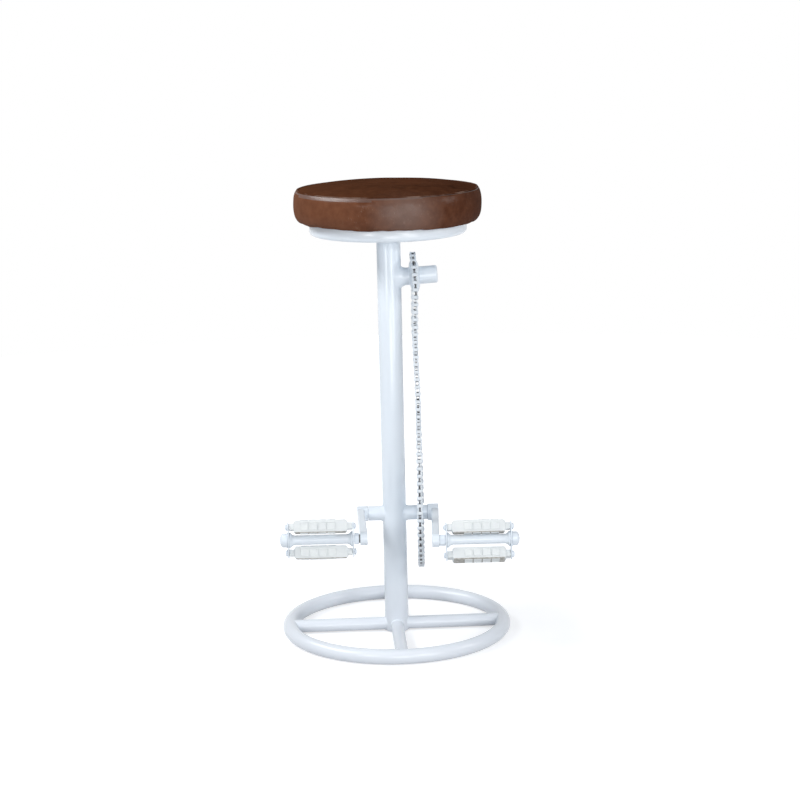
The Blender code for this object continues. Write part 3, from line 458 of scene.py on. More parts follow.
finishes = {
    "enamel": whiteEnamel(),
    "chain": chainEnamel(),
    "oiled": oiledSteelAndShade(),
    "sideLeather": brownLeather("side"),
    "edgeLeather": brownLeather("edge"),
    "topLeather": brownLeather("top"),
    "rubber": whiteRubber(),
    "bareRubber": bareRubber(),
    "plywood": plywood(),
    "foam": yellowFoam(),
    "zinc": zincSteel(),
}
print("finishes made:", ", ".join(finishes))


# Shared modelling steps
mergeWithin = 0.000004


def cleanUp(bm):
    bmesh.ops.remove_doubles(bm, verts=bm.verts, dist=mergeWithin)
    bmesh.ops.recalc_face_normals(bm, faces=bm.faces)


def makePiece(name, bm, stands=(), looks="enamel", body="frame", sharp=38):
    # looks names one finish, or several for the faces' material numbers
    cleanUp(bm)
    mesh = meshFrom(bm, name)
    mesh.shade_smooth()
    mesh.set_sharp_from_angle(angle=math.radians(sharp))
    piece = bpy.data.objects.new(name, mesh)
    scene.collection.objects.link(piece)
    for look in looks.split():
        mesh.materials.append(finishes[look])
    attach(piece, body)
    if stands:
        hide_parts(*stands)
    return piece


def spinAll(bm, geometry, steps):
    bmesh.ops.spin(
        bm, geom=geometry, cent=(0, 0, 0), axis=(0, 0, 1), dvec=(0, 0, 0),
        angle=2 * math.pi, steps=steps, use_merge=True)
    cleanUp(bm)


def turnProfile(profile, steps, closed=False):
    # profile points are (radius, height) about Z
    bm = bmesh.new()
    points = [bm.verts.new((radius, 0, height)) for radius, height in profile]
    edges = [bm.edges.new(pair) for pair in zip(points, points[1:])]
    if closed:
        edges.append(bm.edges.new((points[-1], points[0])))
    spinAll(bm, points + edges, steps)
    return bm


def softenEdges(bm, width, segments=3, angle=30):
    cleanUp(bm)
    sharp = []
    for edge in bm.edges:
        if len(edge.link_faces) == 2 and edge.calc_face_angle() > math.radians(angle):
            sharp.append(edge)
    bmesh.ops.bevel(
        bm, geom=sharp, offset=width, offset_type="OFFSET", segments=segments,
        profile=0.5, affect="EDGES", material=-1, clamp_overlap=True)


def moveTo(bm, matrix):
    bmesh.ops.transform(bm, matrix=matrix, verts=bm.verts)


def arcPoints(radius, start, end, steps, center=(0, 0)):
    turns = [math.radians(start + (end - start) * k / steps) for k in range(steps + 1)]
    return [(center[0] + radius * math.cos(a), center[1] + radius * math.sin(a)) for a in turns]


def middleOf(node):
    low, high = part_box(node)
    return (low + high) / 2


def sizeOf(node):
    low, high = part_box(node)
    return high - low


alongX = turned(90, "Y")      # a piece made along Z lies along X

# Main sizes, read from the frame
ringTube = sizeOf("base_ring").z / 2
ringRadius = sizeOf("base_ring").x / 2 - ringTube
columnRadius = sizeOf("column_tube").x / 2
spokeRadius = sizeOf("base_spoke_right").z / 2
crankZ = middleOf("crank_cross_tube").z
crossRadius = sizeOf("crank_cross_tube").z / 2
stubZ = middleOf("upper_sprocket").z
stubRadius = sizeOf("hub_stub").y / 2
ringSpot = middleOf("chainring")
sprocketSpot = middleOf("upper_sprocket")      # the stub's axis passes through it
spokeMiddle = middleOf("base_spoke_right")
# the spokes point a little off the axes
baseTurn = math.degrees(math.atan2(spokeMiddle.y, spokeMiddle.x))


# Base
baseShape = {
    "ringSteps": 200,
    "ringSides": 40,
    "spokeSides": 56,
    "columnSides": 96,
    "wall": 0.0018,
    "edge": 0.0004,
    "deepest": 0.93,         # share of the ring tube's height that a spoke's cope follows
}
spokeSides = ("right", "rear", "left", "front")


def baseRing():
    bm = bmesh.new()
    bmesh.ops.create_circle(bm, segments=baseShape["ringSides"], radius=ringTube)
    moveTo(bm, Matrix.Translation((ringRadius, 0, ringTube)) @ turned(90, "X"))
    spinAll(bm, bm.verts[:] + bm.edges[:], baseShape["ringSteps"])
    makePiece("baseRing", bm, ["base_ring"])


def columnSide(across):
    return math.sqrt(max(columnRadius ** 2 - across ** 2, 0))


def ringSide(across, up):
    up = min(abs(up), baseShape["deepest"] * ringTube)
    inner = ringRadius - math.sqrt(ringTube ** 2 - up ** 2)
    return math.sqrt(inner ** 2 - across ** 2)


def openTube(radius, sides):
    bm = bmesh.new()
    bmesh.ops.create_cone(
        bm, cap_ends=False, segments=sides, radius1=radius, radius2=radius, depth=2)
    return bm


def thicken(bm, wall):
    bmesh.ops.recalc_face_normals(bm, faces=bm.faces)
    bmesh.ops.solidify(bm, geom=bm.faces[:], thickness=wall)


def baseSpokes():
    for quarter, side in enumerate(spokeSides):
        bm = openTube(spokeRadius, baseShape["spokeSides"])
        moveTo(bm, alongX)
        for vert in bm.verts:
            x, y, z = vert.co
            vert.co.x = columnSide(y) if x < 0 else ringSide(y, z)
        thicken(bm, baseShape["wall"])
        moveTo(bm, Matrix.Translation((0, 0, ringTube)) @ turned(90 * quarter + baseTurn, "Z"))
        makePiece("baseSpoke." + side, bm, ["base_spoke_" + side])


def columnTube():
    low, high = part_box("column_tube")
    bm = openTube(columnRadius, baseShape["columnSides"])
    for vert in bm.verts:
        vert.co.z = low.z if vert.co.z < 0 else high.z
    thicken(bm, baseShape["wall"])
    softenEdges(bm, baseShape["edge"], 2, 60)
    makePiece("columnTube", bm, ["column_tube"])


# Stub that carries the sprocket, pointing a little above level
stubShape = {
    "pitch": 3.7,
    "reach": 0.0393,         # from the sprocket's middle to the end
    "cap": 0.0033,
    "sides": 72,
    "wall": 0.002,
    "round": 0.0032,
}
stubPlace = Matrix.Translation(sprocketSpot) @ turned(90 - stubShape["pitch"], "Y")


# Welds: a paint-filled flare round the joined tube, which slides along it to follow the other tube
weldShape = {
    "steps": 96,
    "sides": 8,
    "lump": 0.00025,
    "lumpScale": 140,
    "sunk": 0.0008,
    "floorGap": 0.0003,
    # how far each climbs the other tube, and how far it reaches along its own
    "spokeColumn": (0.0012, 0.0030),
    "spokeRing": (0.0003, 0.0012),
    "stub": (0.0050, 0.0095),
    "cross": (0.0028, 0.0045),
    "dish": (0.0020, 0.0020),
}


def weldFlare(name, kind, radius, follow, placing):
    rise, run = weldShape[kind]
    sunk = weldShape["sunk"]
    curve = []
    for k in range(weldShape["sides"] + 1):
        turn = math.pi / 2 * k / weldShape["sides"]
        curve.append((radius + rise * (1 - math.sin(turn)), run * (1 - math.cos(turn))))
    section = [(radius + rise, -sunk)] + curve + [(radius - sunk, run), (radius - sunk, -sunk)]
    bm = turnProfile(section, weldShape["steps"], closed=True)
    for vert in bm.verts:
        away = math.hypot(vert.co.x, vert.co.y)
        lump = weldShape["lump"] * noise.noise(vert.co * weldShape["lumpScale"])
        if away > radius:
            vert.co.x *= 1 + lump / away
            vert.co.y *= 1 + lump / away
        vert.co.z += follow(vert.co.x, vert.co.y) + lump
    moveTo(bm, placing)
    for vert in bm.verts:
        vert.co.z = max(vert.co.z, weldShape["floorGap"])
    makePiece(name, bm)


def onColumn(x, y):
    return columnSide(y)


def onRing(x, y):
    return -ringSide(y, x)


def onColumnFromStub(x, y):
    # distance along the leaning stub from the sprocket's middle to the column's side
    lean = math.radians(stubShape["pitch"])
    return (columnSide(y) - sprocketSpot.x - x * math.sin(lean)) / math.cos(lean)


def underDish(x, y):
    return 0.0


def weldFlares():
    for quarter, side in enumerate(spokeSides):
        spoke = Matrix.Translation((0, 0, ringTube)) @ turned(90 * quarter + baseTurn, "Z")
        weldFlare("weldSpokeColumn." + side, "spokeColumn", spokeRadius, onColumn, spoke @ alongX)
        weldFlare("weldSpokeRing." + side, "spokeRing", spokeRadius, onRing, spoke @ turned(-90, "Y"))
    weldFlare("weldStub", "stub", stubRadius, onColumnFromStub, stubPlace)
    for side, turn in (("right", 0), ("left", 180)):
        out = Matrix.Translation((0, 0, crankZ)) @ turned(turn, "Z") @ alongX
        weldFlare("weldCross." + side, "cross", crossRadius, onColumn, out)
    hanging = Matrix.Translation((0, 0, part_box("seat_dish")[0].z)) @ turned(180, "X")
    weldFlare("weldDish", "dish", columnRadius, underDish, hanging)


baseRing()
baseSpokes()
columnTube()
weldFlares()
print("base, upright and welds made")


# Chain, laid link by link along its route
chainShape = {
    "pitch": 0.0127,
    "ringTeeth": 45,
    "sprocketTeeth": 18,
    "links": 98,
    "plateHeight": 0.0088,
    "waist": 0.0064,
    "innerPlate": (0.0020, 0.0032),      # faces out from the chain's middle plane
    "outerPlate": (0.0034, 0.0046),
    "roller": 0.0040,
    "pin": 0.0019,
    "pinReach": 0.0052,
    "rollerSides": 16,
    "pinSides": 10,
    "bare": 0.65,            # rollers are bare where they face the next one, and their dark colour there is also painted shade
    "yaw": 2.4,              # how far the chainring's rear is turned outward
    "sway": 0.0024,          # sideways bow of the runs below the sprocket
    "swayLength": 0.190,
}


def wheelRadius(teeth):
    return chainShape["pitch"] / 2 / math.sin(math.pi / teeth)


def chainRoute():
    # half of the loop: lower arc, straight run and upper arc
    low = wheelRadius(chainShape["ringTeeth"])
    high = wheelRadius(chainShape["sprocketTeeth"])
    reach = stubZ - crankZ
    lean = math.asin((low - high) / reach)
    return low, high, lean, low * (math.pi / 2 + lean), reach * math.cos(lean), high * (math.pi / 2 - lean)


def chainX(y, z):
    # the chain leans with the sprocket until it has left the teeth, then runs to the chainring's plane
    foot = stubZ - wheelRadius(chainShape["sprocketTeeth"]) / 3
    head = crankZ + wheelRadius(chainShape["ringTeeth"]) / 2
    onRing = ringSpot.x + y * math.tan(math.radians(chainShape["yaw"]))
    leaning = sprocketSpot.x - (max(z, foot) - stubZ) * math.tan(math.radians(stubShape["pitch"]))
    share = (z - head) / (foot - head)
    sway = (foot - z) / chainShape["swayLength"]
    bow = chainShape["sway"] * math.sin(math.pi * min(max(sway, 0), 1))
    return onRing + (leaning - onRing) * min(max(share, 0), 1) - bow


def chainPoint(distance):
    low, high, lean, lowerArc, run, upperArc = chainRoute()
    half = lowerArc + run + upperArc
    side = 1 if distance <= half else -1
    along = min(distance, 2 * half - distance)
    if along <= lowerArc:
        turn = along / low
        y, z = low * math.sin(turn), crankZ - low * math.cos(turn)
    elif along <= lowerArc + run:
        up = along - lowerArc
        y = low * math.cos(lean) - up * math.sin(lean)
        z = crankZ + low * math.sin(lean) + up * math.cos(lean)
    else:
        turn = (half - along) / high
        y, z = high * math.sin(turn), stubZ + high * math.cos(turn)
    return Vector((chainX(side * y, z), side * y, z))


def linkPlate(bm, inside, outside):
    half = chainShape["plateHeight"] / 2
    pitch = chainShape["pitch"]
    turns = [math.radians(22.5 * k) for k in range(5)]
    end = [(-half * math.cos(turn), half * math.sin(turn)) for turn in turns]
    farEnd = [(pitch - along, high) for along, high in reversed(end)]
    rows = end + [(pitch / 2, chainShape["waist"] / 2)] + farEnd
    last = len(rows) - 1
    grid = bmesh.ops.create_grid(bm, x_segments=1, y_segments=last, size=1)["verts"]
    for vert in grid:
        along, high = rows[round((vert.co.y + 1) / 2 * last)]
        vert.co = (inside, along, math.copysign(high, vert.co.x))
    faces = {face for vert in grid for face in vert.link_faces}
    for vert in vertsOf(bmesh.ops.extrude_face_region(bm, geom=list(faces))["geom"]):
        vert.co.x = outside


def linkRod(bm, radius, reach, along, sides):
    place = Matrix.Translation((0, along, 0)) @ alongX
    bmesh.ops.create_cone(
        bm, cap_ends=True, segments=sides, radius1=radius, radius2=radius, depth=2 * reach, matrix=place)


def chainLink(plate, rod, reach, sides):
    bm = bmesh.new()
    for side in (-1, 1):
        linkPlate(bm, side * plate[0], side * plate[1])
    for along in (0, chainShape["pitch"]):
        linkRod(bm, rod, reach, along, sides)
    cleanUp(bm)
    # the insides, and the flanks that face the next roller, are bare and oily, and their dark colour also
    # paints the shade in the gaps
    for face in bm.faces:
        middle = face.calc_center_median()
        within = abs(middle.x) < plate[0] + 0.00001
        face.material_index = 1 if within and abs(face.normal.z) < chainShape["bare"] else 0
    return meshFrom(bm, "chainLink")


def driveChain():
    plate = chainShape["innerPlate"]
    inner = chainLink(plate, chainShape["roller"], plate[0], chainShape["rollerSides"])
    plate = chainShape["outerPlate"]
    outer = chainLink(plate, chainShape["pin"], chainShape["pinReach"], chainShape["pinSides"])
    lowerArc, run, upperArc = chainRoute()[3:]
    step = 2 * (lowerArc + run + upperArc) / chainShape["links"]
    points = [chainPoint(k * step) for k in range(chainShape["links"])]
    across = Vector((1, 0, 0))
    bm = bmesh.new()
    for k, point in enumerate(points):
        ahead = (points[(k + 1) % len(points)] - point).normalized()
        out = across.cross(ahead).normalized()
        axes = Matrix((ahead.cross(out), ahead, out)).transposed().to_4x4()
        before = len(bm.verts)
        bm.from_mesh(outer if k % 2 else inner)
        bm.verts.ensure_lookup_table()
        bmesh.ops.transform(bm, matrix=Matrix.Translation(point) @ axes, verts=bm.verts[before:])
    stretches = ["chain_lower_wrap", "chain_rear_run", "chain_upper_wrap", "chain_front_run"]
    makePiece("driveChain", bm, stretches, "chain oiled")


# Toothed wheels, each cut from one sheet
wheelShape = {
    "thickness": 0.0026,
    "tooth": (-0.0041, -0.0031, 0.0026, 0.0026, -0.0031),   # edge out from the pitch circle, over one pitch
    "edge": 0.0004,
    "arms": 5,
    "armWidth": 0.013,
    "armColumns": 3,
    "hub": 0.030,
    "rim": 0.0747,
    "fillet": 0.006,
    "filletRows": (0, 0.06, 0.2, 0.45, 0.75, 1),
    "hubRow": 0.021,
    "armRows": [0.045, 0.056],
    "rimRow": 0.080,
    "gap": 0.0003,           # round the tube that carries the wheel
    "toothFoot": 0.0056,     # in from the pitch circle
    "oiledFrom": 0.0068,
    # the sprocket's hub, as radius and half thickness
    "lens": [(0.0171, 0.0085), (0.0200, 0.0079), (0.0235, 0.0066), (0.0262, 0.0052), (0.0277, 0.0040),
             (0.0280, 0.0030), (0.0282, 0.0013)],
}


def cutTeeth(bm, radius, columns):
    tooth = wheelShape["tooth"]
    for vert in bm.verts:
        if vert.co.length > radius - 0.001:
            column = round(math.atan2(vert.co.y, vert.co.x) / (2 * math.pi) * columns)
            vert.co *= 1 + tooth[column % len(tooth)] / radius


def armHalf(radius):
    # half of an arm's angle, wider near the hub and the rim
    fillet = wheelShape["fillet"]
    inside = min(radius - wheelShape["hub"], wheelShape["rim"] - radius, fillet)
    widen = fillet - math.sqrt(max(fillet ** 2 - (fillet - inside) ** 2, 0))
    return math.asin((wheelShape["armWidth"] / 2 + widen) / radius)


def openWindows(bm, columns):
    arms = wheelShape["arms"]
    half = columns / arms / 2
    own = wheelShape["armColumns"]

    def placeOf(spot):
        column = math.atan2(spot.y, spot.x) / (2 * math.pi) * columns
        arm = round(column / half / 2)
        return arm, column - 2 * half * arm

    windows = []
    for face in bm.faces:
        middle = face.calc_center_median()
        if wheelShape["hub"] < middle.length < wheelShape["rim"] and abs(placeOf(middle)[1]) > own:
            windows.append(face)
    bmesh.ops.delete(bm, geom=windows, context="FACES")
    for vert in bm.verts:
        radius = vert.co.length
        if wheelShape["hub"] - 0.00001 < radius < wheelShape["rim"] + 0.00001:
            arm, column = placeOf(vert.co)
            reach = armHalf(radius)
            turn = reach * min(abs(column) / own, 1)
            turn += (math.pi / arms - reach) * max(abs(column) - own, 0) / (half - own)
            turn = math.copysign(turn, column) + arm * 2 * math.pi / arms
            vert.co = (radius * math.cos(turn), radius * math.sin(turn), 0)


def toothedWheel(name, node, teeth, rows, windows, place):
    # rows are (radius, half thickness) from the bore out to the foot of the teeth
    radius = wheelRadius(teeth)
    columns = teeth * len(wheelShape["tooth"])
    plate = wheelShape["thickness"] / 2
    rows = rows + [(radius - wheelShape["toothFoot"], plate), (radius, plate)]
    bm = turnProfile([(reach, 0) for reach, half in rows], columns)
    cutTeeth(bm, radius, columns)
    if windows:
        openWindows(bm, columns)
    raised = set(vertsOf(bmesh.ops.extrude_face_region(bm, geom=bm.faces[:])["geom"]))
    for vert in bm.verts:
        away = math.hypot(vert.co.x, vert.co.y)
        half = min(rows, key=lambda row: abs(row[0] - away))[1]
        vert.co.z = half if vert in raised else -half
    softenEdges(bm, wheelShape["edge"], 2, 50)
    # the teeth and the ring that the chain rubs are dark with oil
    for face in bm.faces:
        middle = face.calc_center_median()
        oiled = math.hypot(middle.x, middle.y) > radius - wheelShape["oiledFrom"]
        face.material_index = 1 if oiled else 0
    moveTo(bm, place)
    makePiece(name, bm, [node], "enamel oiled")


def toothedWheels():
    shares = wheelShape["filletRows"]
    near = [wheelShape["hub"] + wheelShape["fillet"] * share for share in shares]
    far = [wheelShape["rim"] - wheelShape["fillet"] * share for share in reversed(shares)]
    reaches = [crossRadius + wheelShape["gap"], wheelShape["hubRow"]] + near
    reaches += wheelShape["armRows"] + far + [wheelShape["rimRow"]]
    rows = [(reach, wheelShape["thickness"] / 2) for reach in reaches]
    middle = Matrix.Translation((ringSpot.x, 0, crankZ)) @ turned(-chainShape["yaw"], "Z") @ alongX
    toothedWheel("chainring", "chainring", chainShape["ringTeeth"], rows, True, middle)
    lens = wheelShape["lens"]
    rows = [(stubRadius + wheelShape["gap"], lens[0][1])] + lens
    toothedWheel("upperSprocket", "upper_sprocket", chainShape["sprocketTeeth"], rows, False, stubPlace)


def hubStub():
    bm = openTube(stubRadius, stubShape["sides"])
    for vert in bm.verts:
        if vert.co.z < 0:
            vert.co.z = onColumnFromStub(vert.co.x, vert.co.y)
        else:
            vert.co.z = stubShape["reach"] - stubShape["cap"]
    thicken(bm, stubShape["wall"])
    moveTo(bm, stubPlace)
    makePiece("hubStub", bm, ["hub_stub"])


def stubEndCap():
    corner, reach = stubShape["round"], stubShape["reach"]
    edge = arcPoints(corner, 90, 0, 8, (stubRadius - corner, reach - corner))
    start = reach - stubShape["cap"]
    bm = turnProfile([(0, reach)] + edge + [(stubRadius, start), (0, start)], stubShape["sides"])
    moveTo(bm, stubPlace)
    makePiece("stubEndCap", bm, ["stub_end_cap"])


driveChain()
toothedWheels()
hubStub()
stubEndCap()
print("chain, wheels and stub made")


# Cranks: boss, arm and eye are joined by voxels and smoothed like one forging
crankShape = {
    "bossHole": 0.0083,
    "eyeRadius": 0.01125,
    "eyeWidth": 0.0123,
    "eyeHole": 0.0075,
    "armThick": 0.0125,
    "armEdge": 0.0022,
    "armRoot": 0.021,
    "armEnd": 0.016,
    "overlap": 0.004,
    "sides": 64,
    "voxel": 0.0007,
    "smoothing": 4,
}


def addShell(bm, shell):
    mesh = meshFrom(shell, "shell")
    bm.from_mesh(mesh)
    bpy.data.meshes.remove(mesh)


def voxelJoin(bm, voxel, rounds):
    cleanUp(bm)
    holder = bpy.data.objects.new("shells", meshFrom(bm, "shells"))
    scene.collection.objects.link(holder)
    remesh = holder.modifiers.new("join", "REMESH")
    remesh.mode = "VOXEL"
    remesh.voxel_size = voxel
    joined = bmesh.new()
    joined.from_object(holder, bpy.context.evaluated_depsgraph_get())
    bpy.data.objects.remove(holder)
    for turn in range(rounds):
        bmesh.ops.smooth_vert(
            joined, verts=joined.verts, factor=0.5, use_axis_x=True, use_axis_y=True, use_axis_z=True)
    return joined


def ringShell(bm, hole, radius, width, place):
    section = [(hole, -width / 2), (radius, -width / 2), (radius, width / 2), (hole, width / 2)]
    shell = turnProfile(section, crankShape["sides"], closed=True)
    moveTo(shell, place @ alongX)
    addShell(bm, shell)


def pedalAxis(label):
    for joint in frame["record"]["behaviour"]["joints"]:
        if joint["child"] == "pedal_" + label:
            return Vector(joint["pos_m"])


def makeCrank(label, side):
    node = "crank_" + label
    low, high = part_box(node)
    boss = Vector(((low.x + high.x) / 2, 0, crankZ))
    face = high.x if side > 0 else low.x
    eye = pedalAxis(label)
    eyeMiddle = eye - Vector((side * crankShape["eyeWidth"] / 2, 0, 0))
    bm = bmesh.new()
    ringShell(bm, crankShape["bossHole"], high.y, high.x - low.x, Matrix.Translation(boss))
    place = Matrix.Translation(eyeMiddle)
    ringShell(bm, crankShape["eyeHole"], crankShape["eyeRadius"], crankShape["eyeWidth"], place)
    root = Vector((face - side * crankShape["armThick"] / 2, 0, crankZ))
    tip = eye - Vector((side * crankShape["armThick"] / 2, 0, 0))
    reach = (tip - root).normalized()
    start = root + reach * (high.y - crankShape["overlap"])
    end = tip - reach * (crankShape["eyeRadius"] - crankShape["overlap"] / 2)
    arm = bmesh.new()
    bmesh.ops.create_cube(arm, size=1)
    for vert in arm.verts:
        far = vert.co.y < 0
        spot = end if far else start
        tall = crankShape["armEnd"] if far else crankShape["armRoot"]
        vert.co = spot + Vector((vert.co.x * crankShape["armThick"], 0, vert.co.z * tall))
    softenEdges(arm, crankShape["armEdge"], 4)
    addShell(bm, arm)
    bm = voxelJoin(bm, crankShape["voxel"], crankShape["smoothing"])
    makePiece("crank." + label, bm, [node], sharp=80)


axleShape = {
    "chamfer": 0.0008,
    "centreHole": 0.0016,
    "centreDepth": 0.0012,
    "sides": 48,
    "wall": 0.0016,
    "edge": 0.0005,
}


def crossTube():
    low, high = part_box("crank_cross_tube")
    bm = openTube(crossRadius, axleShape["sides"])
    for vert in bm.verts:
        vert.co.z = low.x if vert.co.z < 0 else high.x
    thicken(bm, axleShape["wall"])
    softenEdges(bm, axleShape["edge"], 2, 60)
    moveTo(bm, Matrix.Translation((0, 0, crankZ)) @ alongX)
    makePiece("crossTube", bm, ["crank_cross_tube"])


def crankAxle():
    low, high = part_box("crank_axle")
    radius = (high.z - low.z) / 2
    cut = axleShape["chamfer"]
    hole = axleShape["centreHole"]
    end = [(0, high.x - axleShape["centreDepth"]), (hole, high.x)]
    end += [(radius - cut, high.x), (radius, high.x - cut)]
    start = [(reach, low.x + high.x - along) for reach, along in reversed(end)]
    bm = turnProfile(end + start, axleShape["sides"])
    moveTo(bm, Matrix.Translation((0, 0, crankZ)) @ alongX)
    makePiece("crankAxle", bm, ["crank_axle"])


makeCrank("left", -1)
makeCrank("right", 1)
crossTube()
crankAxle()
print("cranks made")


# Pedals: each is made along X outward from its crank, then turned and placed on its axis
pedalShape = {
    "turn": {"left": (30, 26), "right": (14, 28)},     # upper and lower block on its bolt, degrees
    "bareThread": {"left": 0.0022, "right": 0.0003},   # shows between the crank and the collar
    "gap": 0.0003,
    "sides": 48,
}
blockShape = {
    "length": 0.0895,
    "depth": 0.0196,
    "height": 0.0212,
    "chamfer": 0.0030,
    "edge": 0.0013,
    "boss": (0.0130, 0.0115),
    "bossEdge": 0.0015,
    "pads": 4,
    "padPitch": 0.0151,
    "padShift": 0.0045,
    "pad": 0.0132,
    "padRise": 0.0011,
    "padRim": 0.0014,
    "padSlope": 0.0005,
    "padHollow": 0.0008,
    "padEdge": 0.00025,
}


def cubeShell(size):
    shell = bmesh.new()
    bmesh.ops.create_cube(shell, size=1)
    bmesh.ops.scale(shell, vec=size, verts=shell.verts)
    return shell


def addPad(bm, middle, facing):
    # plain raised square with a shallow hollow
    shell = cubeShell((blockShape["pad"], blockShape["pad"], 4 * blockShape["padRise"]))
    top = max(shell.faces, key=lambda face: face.calc_center_median().z)
    bmesh.ops.inset_individual(shell, faces=[top], thickness=blockShape["padRim"])
    slope, hollow = blockShape["padSlope"], blockShape["padHollow"]
    bmesh.ops.inset_individual(shell, faces=[top], thickness=slope, depth=-hollow)
    softenEdges(shell, blockShape["padEdge"], 2)
    moveTo(shell, facing @ Matrix.Translation(middle))
    addShell(bm, shell)


def rubberBlock(span):
    # the boss fills the span between the side plates
    length, depth, height = blockShape["length"], blockShape["depth"], blockShape["height"]
    bar = cubeShell((length, depth, height))
    ends = []
    for edge in bar.edges:
        first, second = edge.verts
        if abs(first.co.y - second.co.y) > depth / 2:
            ends.append(edge)
    bmesh.ops.bevel(
        bar, geom=ends, offset=blockShape["chamfer"], segments=1, profile=0.5, affect="EDGES", material=-1)
    softenEdges(bar, blockShape["edge"], 3)
    boss = cubeShell((span, *blockShape["boss"]))
    softenEdges(boss, blockShape["bossEdge"], 3)
    bm = bmesh.new()
    addShell(bm, bar)
    addShell(bm, boss)
    cleanUp(bm)
    # faces that look down low on the block are unpainted rubber carrying painted shade
    for face in bm.faces:
        low = face.calc_center_median().z < -height / 2 + blockShape["edge"]
        face.material_index = 1 if low and face.normal.z < -0.05 else 0
    outermost = blockShape["padPitch"] * (blockShape["pads"] - 1) / 2
    for quarter in range(4):
        facing = turned(90 * quarter, "X")
        for k in range(blockShape["pads"]):
            along = k * blockShape["padPitch"] - outermost + blockShape["padShift"]
            addPad(bm, (along, 0, height / 2 - blockShape["padRise"]), facing)
    return bm


plateShape = {"end": 0.009, "middle": 0.014, "edge": 0.0004}


def sidePlate(reach, lifts):
    end, middle = plateShape["end"], plateShape["middle"]
    outline = arcPoints(end, 10, 170, 14, (0, lifts[0])) + arcPoints(middle, 150, 210, 8)
    outline += arcPoints(end, 190, 350, 14, (0, lifts[1])) + arcPoints(middle, -30, 30, 8)
    bm = bmesh.new()
    face = bm.faces.new([bm.verts.new((reach[0], y, z)) for y, z in outline])
    for vert in vertsOf(bmesh.ops.extrude_face_region(bm, geom=[face])["geom"]):
        vert.co.x = reach[1]
    softenEdges(bm, plateShape["edge"], 2, 50)
    return bm


barrelShape = {
    "radius": 0.0081,
    "bore": 0.0065,
    "flare": 0.0128,
    "flareRim": 0.0022,
    "flareLength": 0.0100,
    "flareCurve": 2.2,
    "flareRows": 10,
    "chamfer": 0.0005,
}


def pedalBarrel(reach):
    small, wide, bore = barrelShape["radius"], barrelShape["flare"], barrelShape["bore"]
    rim, length, cut = barrelShape["flareRim"], barrelShape["flareLength"], barrelShape["chamfer"]
    half = [(wide - cut, 0), (wide, cut)]
    for k in range(barrelShape["flareRows"] + 1):
        share = k / barrelShape["flareRows"]
        radius = small + (wide - small) * (1 - share) ** barrelShape["flareCurve"]
        half.append((radius, rim + (length - rim) * share))
    start = [(bore, reach[0])] + [(radius, reach[0] + along) for radius, along in half]
    end = [(radius, reach[1] - along) for radius, along in reversed(half)] + [(bore, reach[1])]
    return turnProfile(start + end, pedalShape["sides"], closed=True)


boltShape = {
    "shank": 0.00275,
    "head": 0.0055,
    "rim": 0.0016,           # straight part of the head, under its dome
    "dome": 0.0026,
    "chamfer": 0.0004,
    "sides": 32,
}


def pedalBolt(start, seat):
    # the head sits on the plate's face at seat
    shank, head, cut = boltShape["shank"], boltShape["head"], boltShape["chamfer"]
    rim, dome = seat + boltShape["rim"], boltShape["dome"]
    profile = [(0, rim + dome)]
    profile += [(head * math.cos(a), rim + dome * math.sin(a)) for a in (1.2, 0.8, 0.4, 0)]
    profile += [(head, seat), (shank, seat), (shank, start + cut), (shank - cut, start), (0, start)]
    return turnProfile(profile, boltShape["sides"])


nutShape = {"flats": 0.0095, "edge": 0.0005}


def hexNut(length):
    bm = bmesh.new()
    corner = nutShape["flats"] / 2 / math.cos(math.pi / 6)
    bmesh.ops.create_cone(bm, cap_ends=True, segments=6, radius1=corner, radius2=corner, depth=length)
    softenEdges(bm, nutShape["edge"], 3)
    return bm


capShape = {
    "radius": 0.0117,
    "dome": 0.0062,
    "neck": 0.0024,
    "lip": 0.0124,
    "lipTop": 0.0019,
    "lipFoot": 0.0003,
    "chamfer": 0.0004,
}


def dustCap(start, end):
    radius, dome, lip = capShape["radius"], capShape["dome"], capShape["lip"]
    turns = (1.35, 1.1, 0.85, 0.6, 0.35, 0.1)
    profile = [(0, end)] + [(radius * math.cos(a), end - dome + dome * math.sin(a)) for a in turns]
    profile += [(radius, start + capShape["neck"]), (lip, start + capShape["lipTop"])]
    profile += [(lip, start + capShape["lipFoot"]), (lip - capShape["chamfer"], start), (0, start)]
    return turnProfile(profile, pedalShape["sides"])


spindleShape = {
    "shaft": 0.005,
    "shoulder": 0.006,
    "shoulderEnd": 0.0023,   # past the plate's inner face
    "collar": 0.0095,
    "collarGap": 0.0007,
    "flats": 0.0075,
    "thread": 0.00715,
    "chamfer": 0.0008,
    "lead": 0.0006,
}


def pedalSpindle(bare, plate, end):
    shaft, shoulder = spindleShape["shaft"], spindleShape["shoulder"]
    collar, thread, cut = spindleShape["collar"], spindleShape["thread"], spindleShape["chamfer"]
    shoulderEnd = plate + spindleShape["shoulderEnd"]
    collarEnd = plate - spindleShape["collarGap"]
    tip = -crankShape["eyeWidth"]
    profile = [(0, end), (shaft, end), (shaft, shoulderEnd), (shoulder, shoulderEnd), (shoulder, collarEnd)]
    profile += [(collar - cut, collarEnd), (collar, collarEnd - cut)]
    profile += [(collar, bare + cut), (collar - cut, bare), (thread, bare), (thread, 0)]
    profile += [(thread, tip + spindleShape["lead"]), (thread - cut, tip), (0, tip)]
    bm = turnProfile(profile, pedalShape["sides"])
    flats = spindleShape["flats"]
    for vert in bm.verts:
        vert.co.y = max(min(vert.co.y, flats), -flats)
    # the bare thread is dark
    for face in bm.faces:
        face.material_index = 1 if -0.001 < face.calc_center_median().z < bare + 0.0002 else 0
    return bm


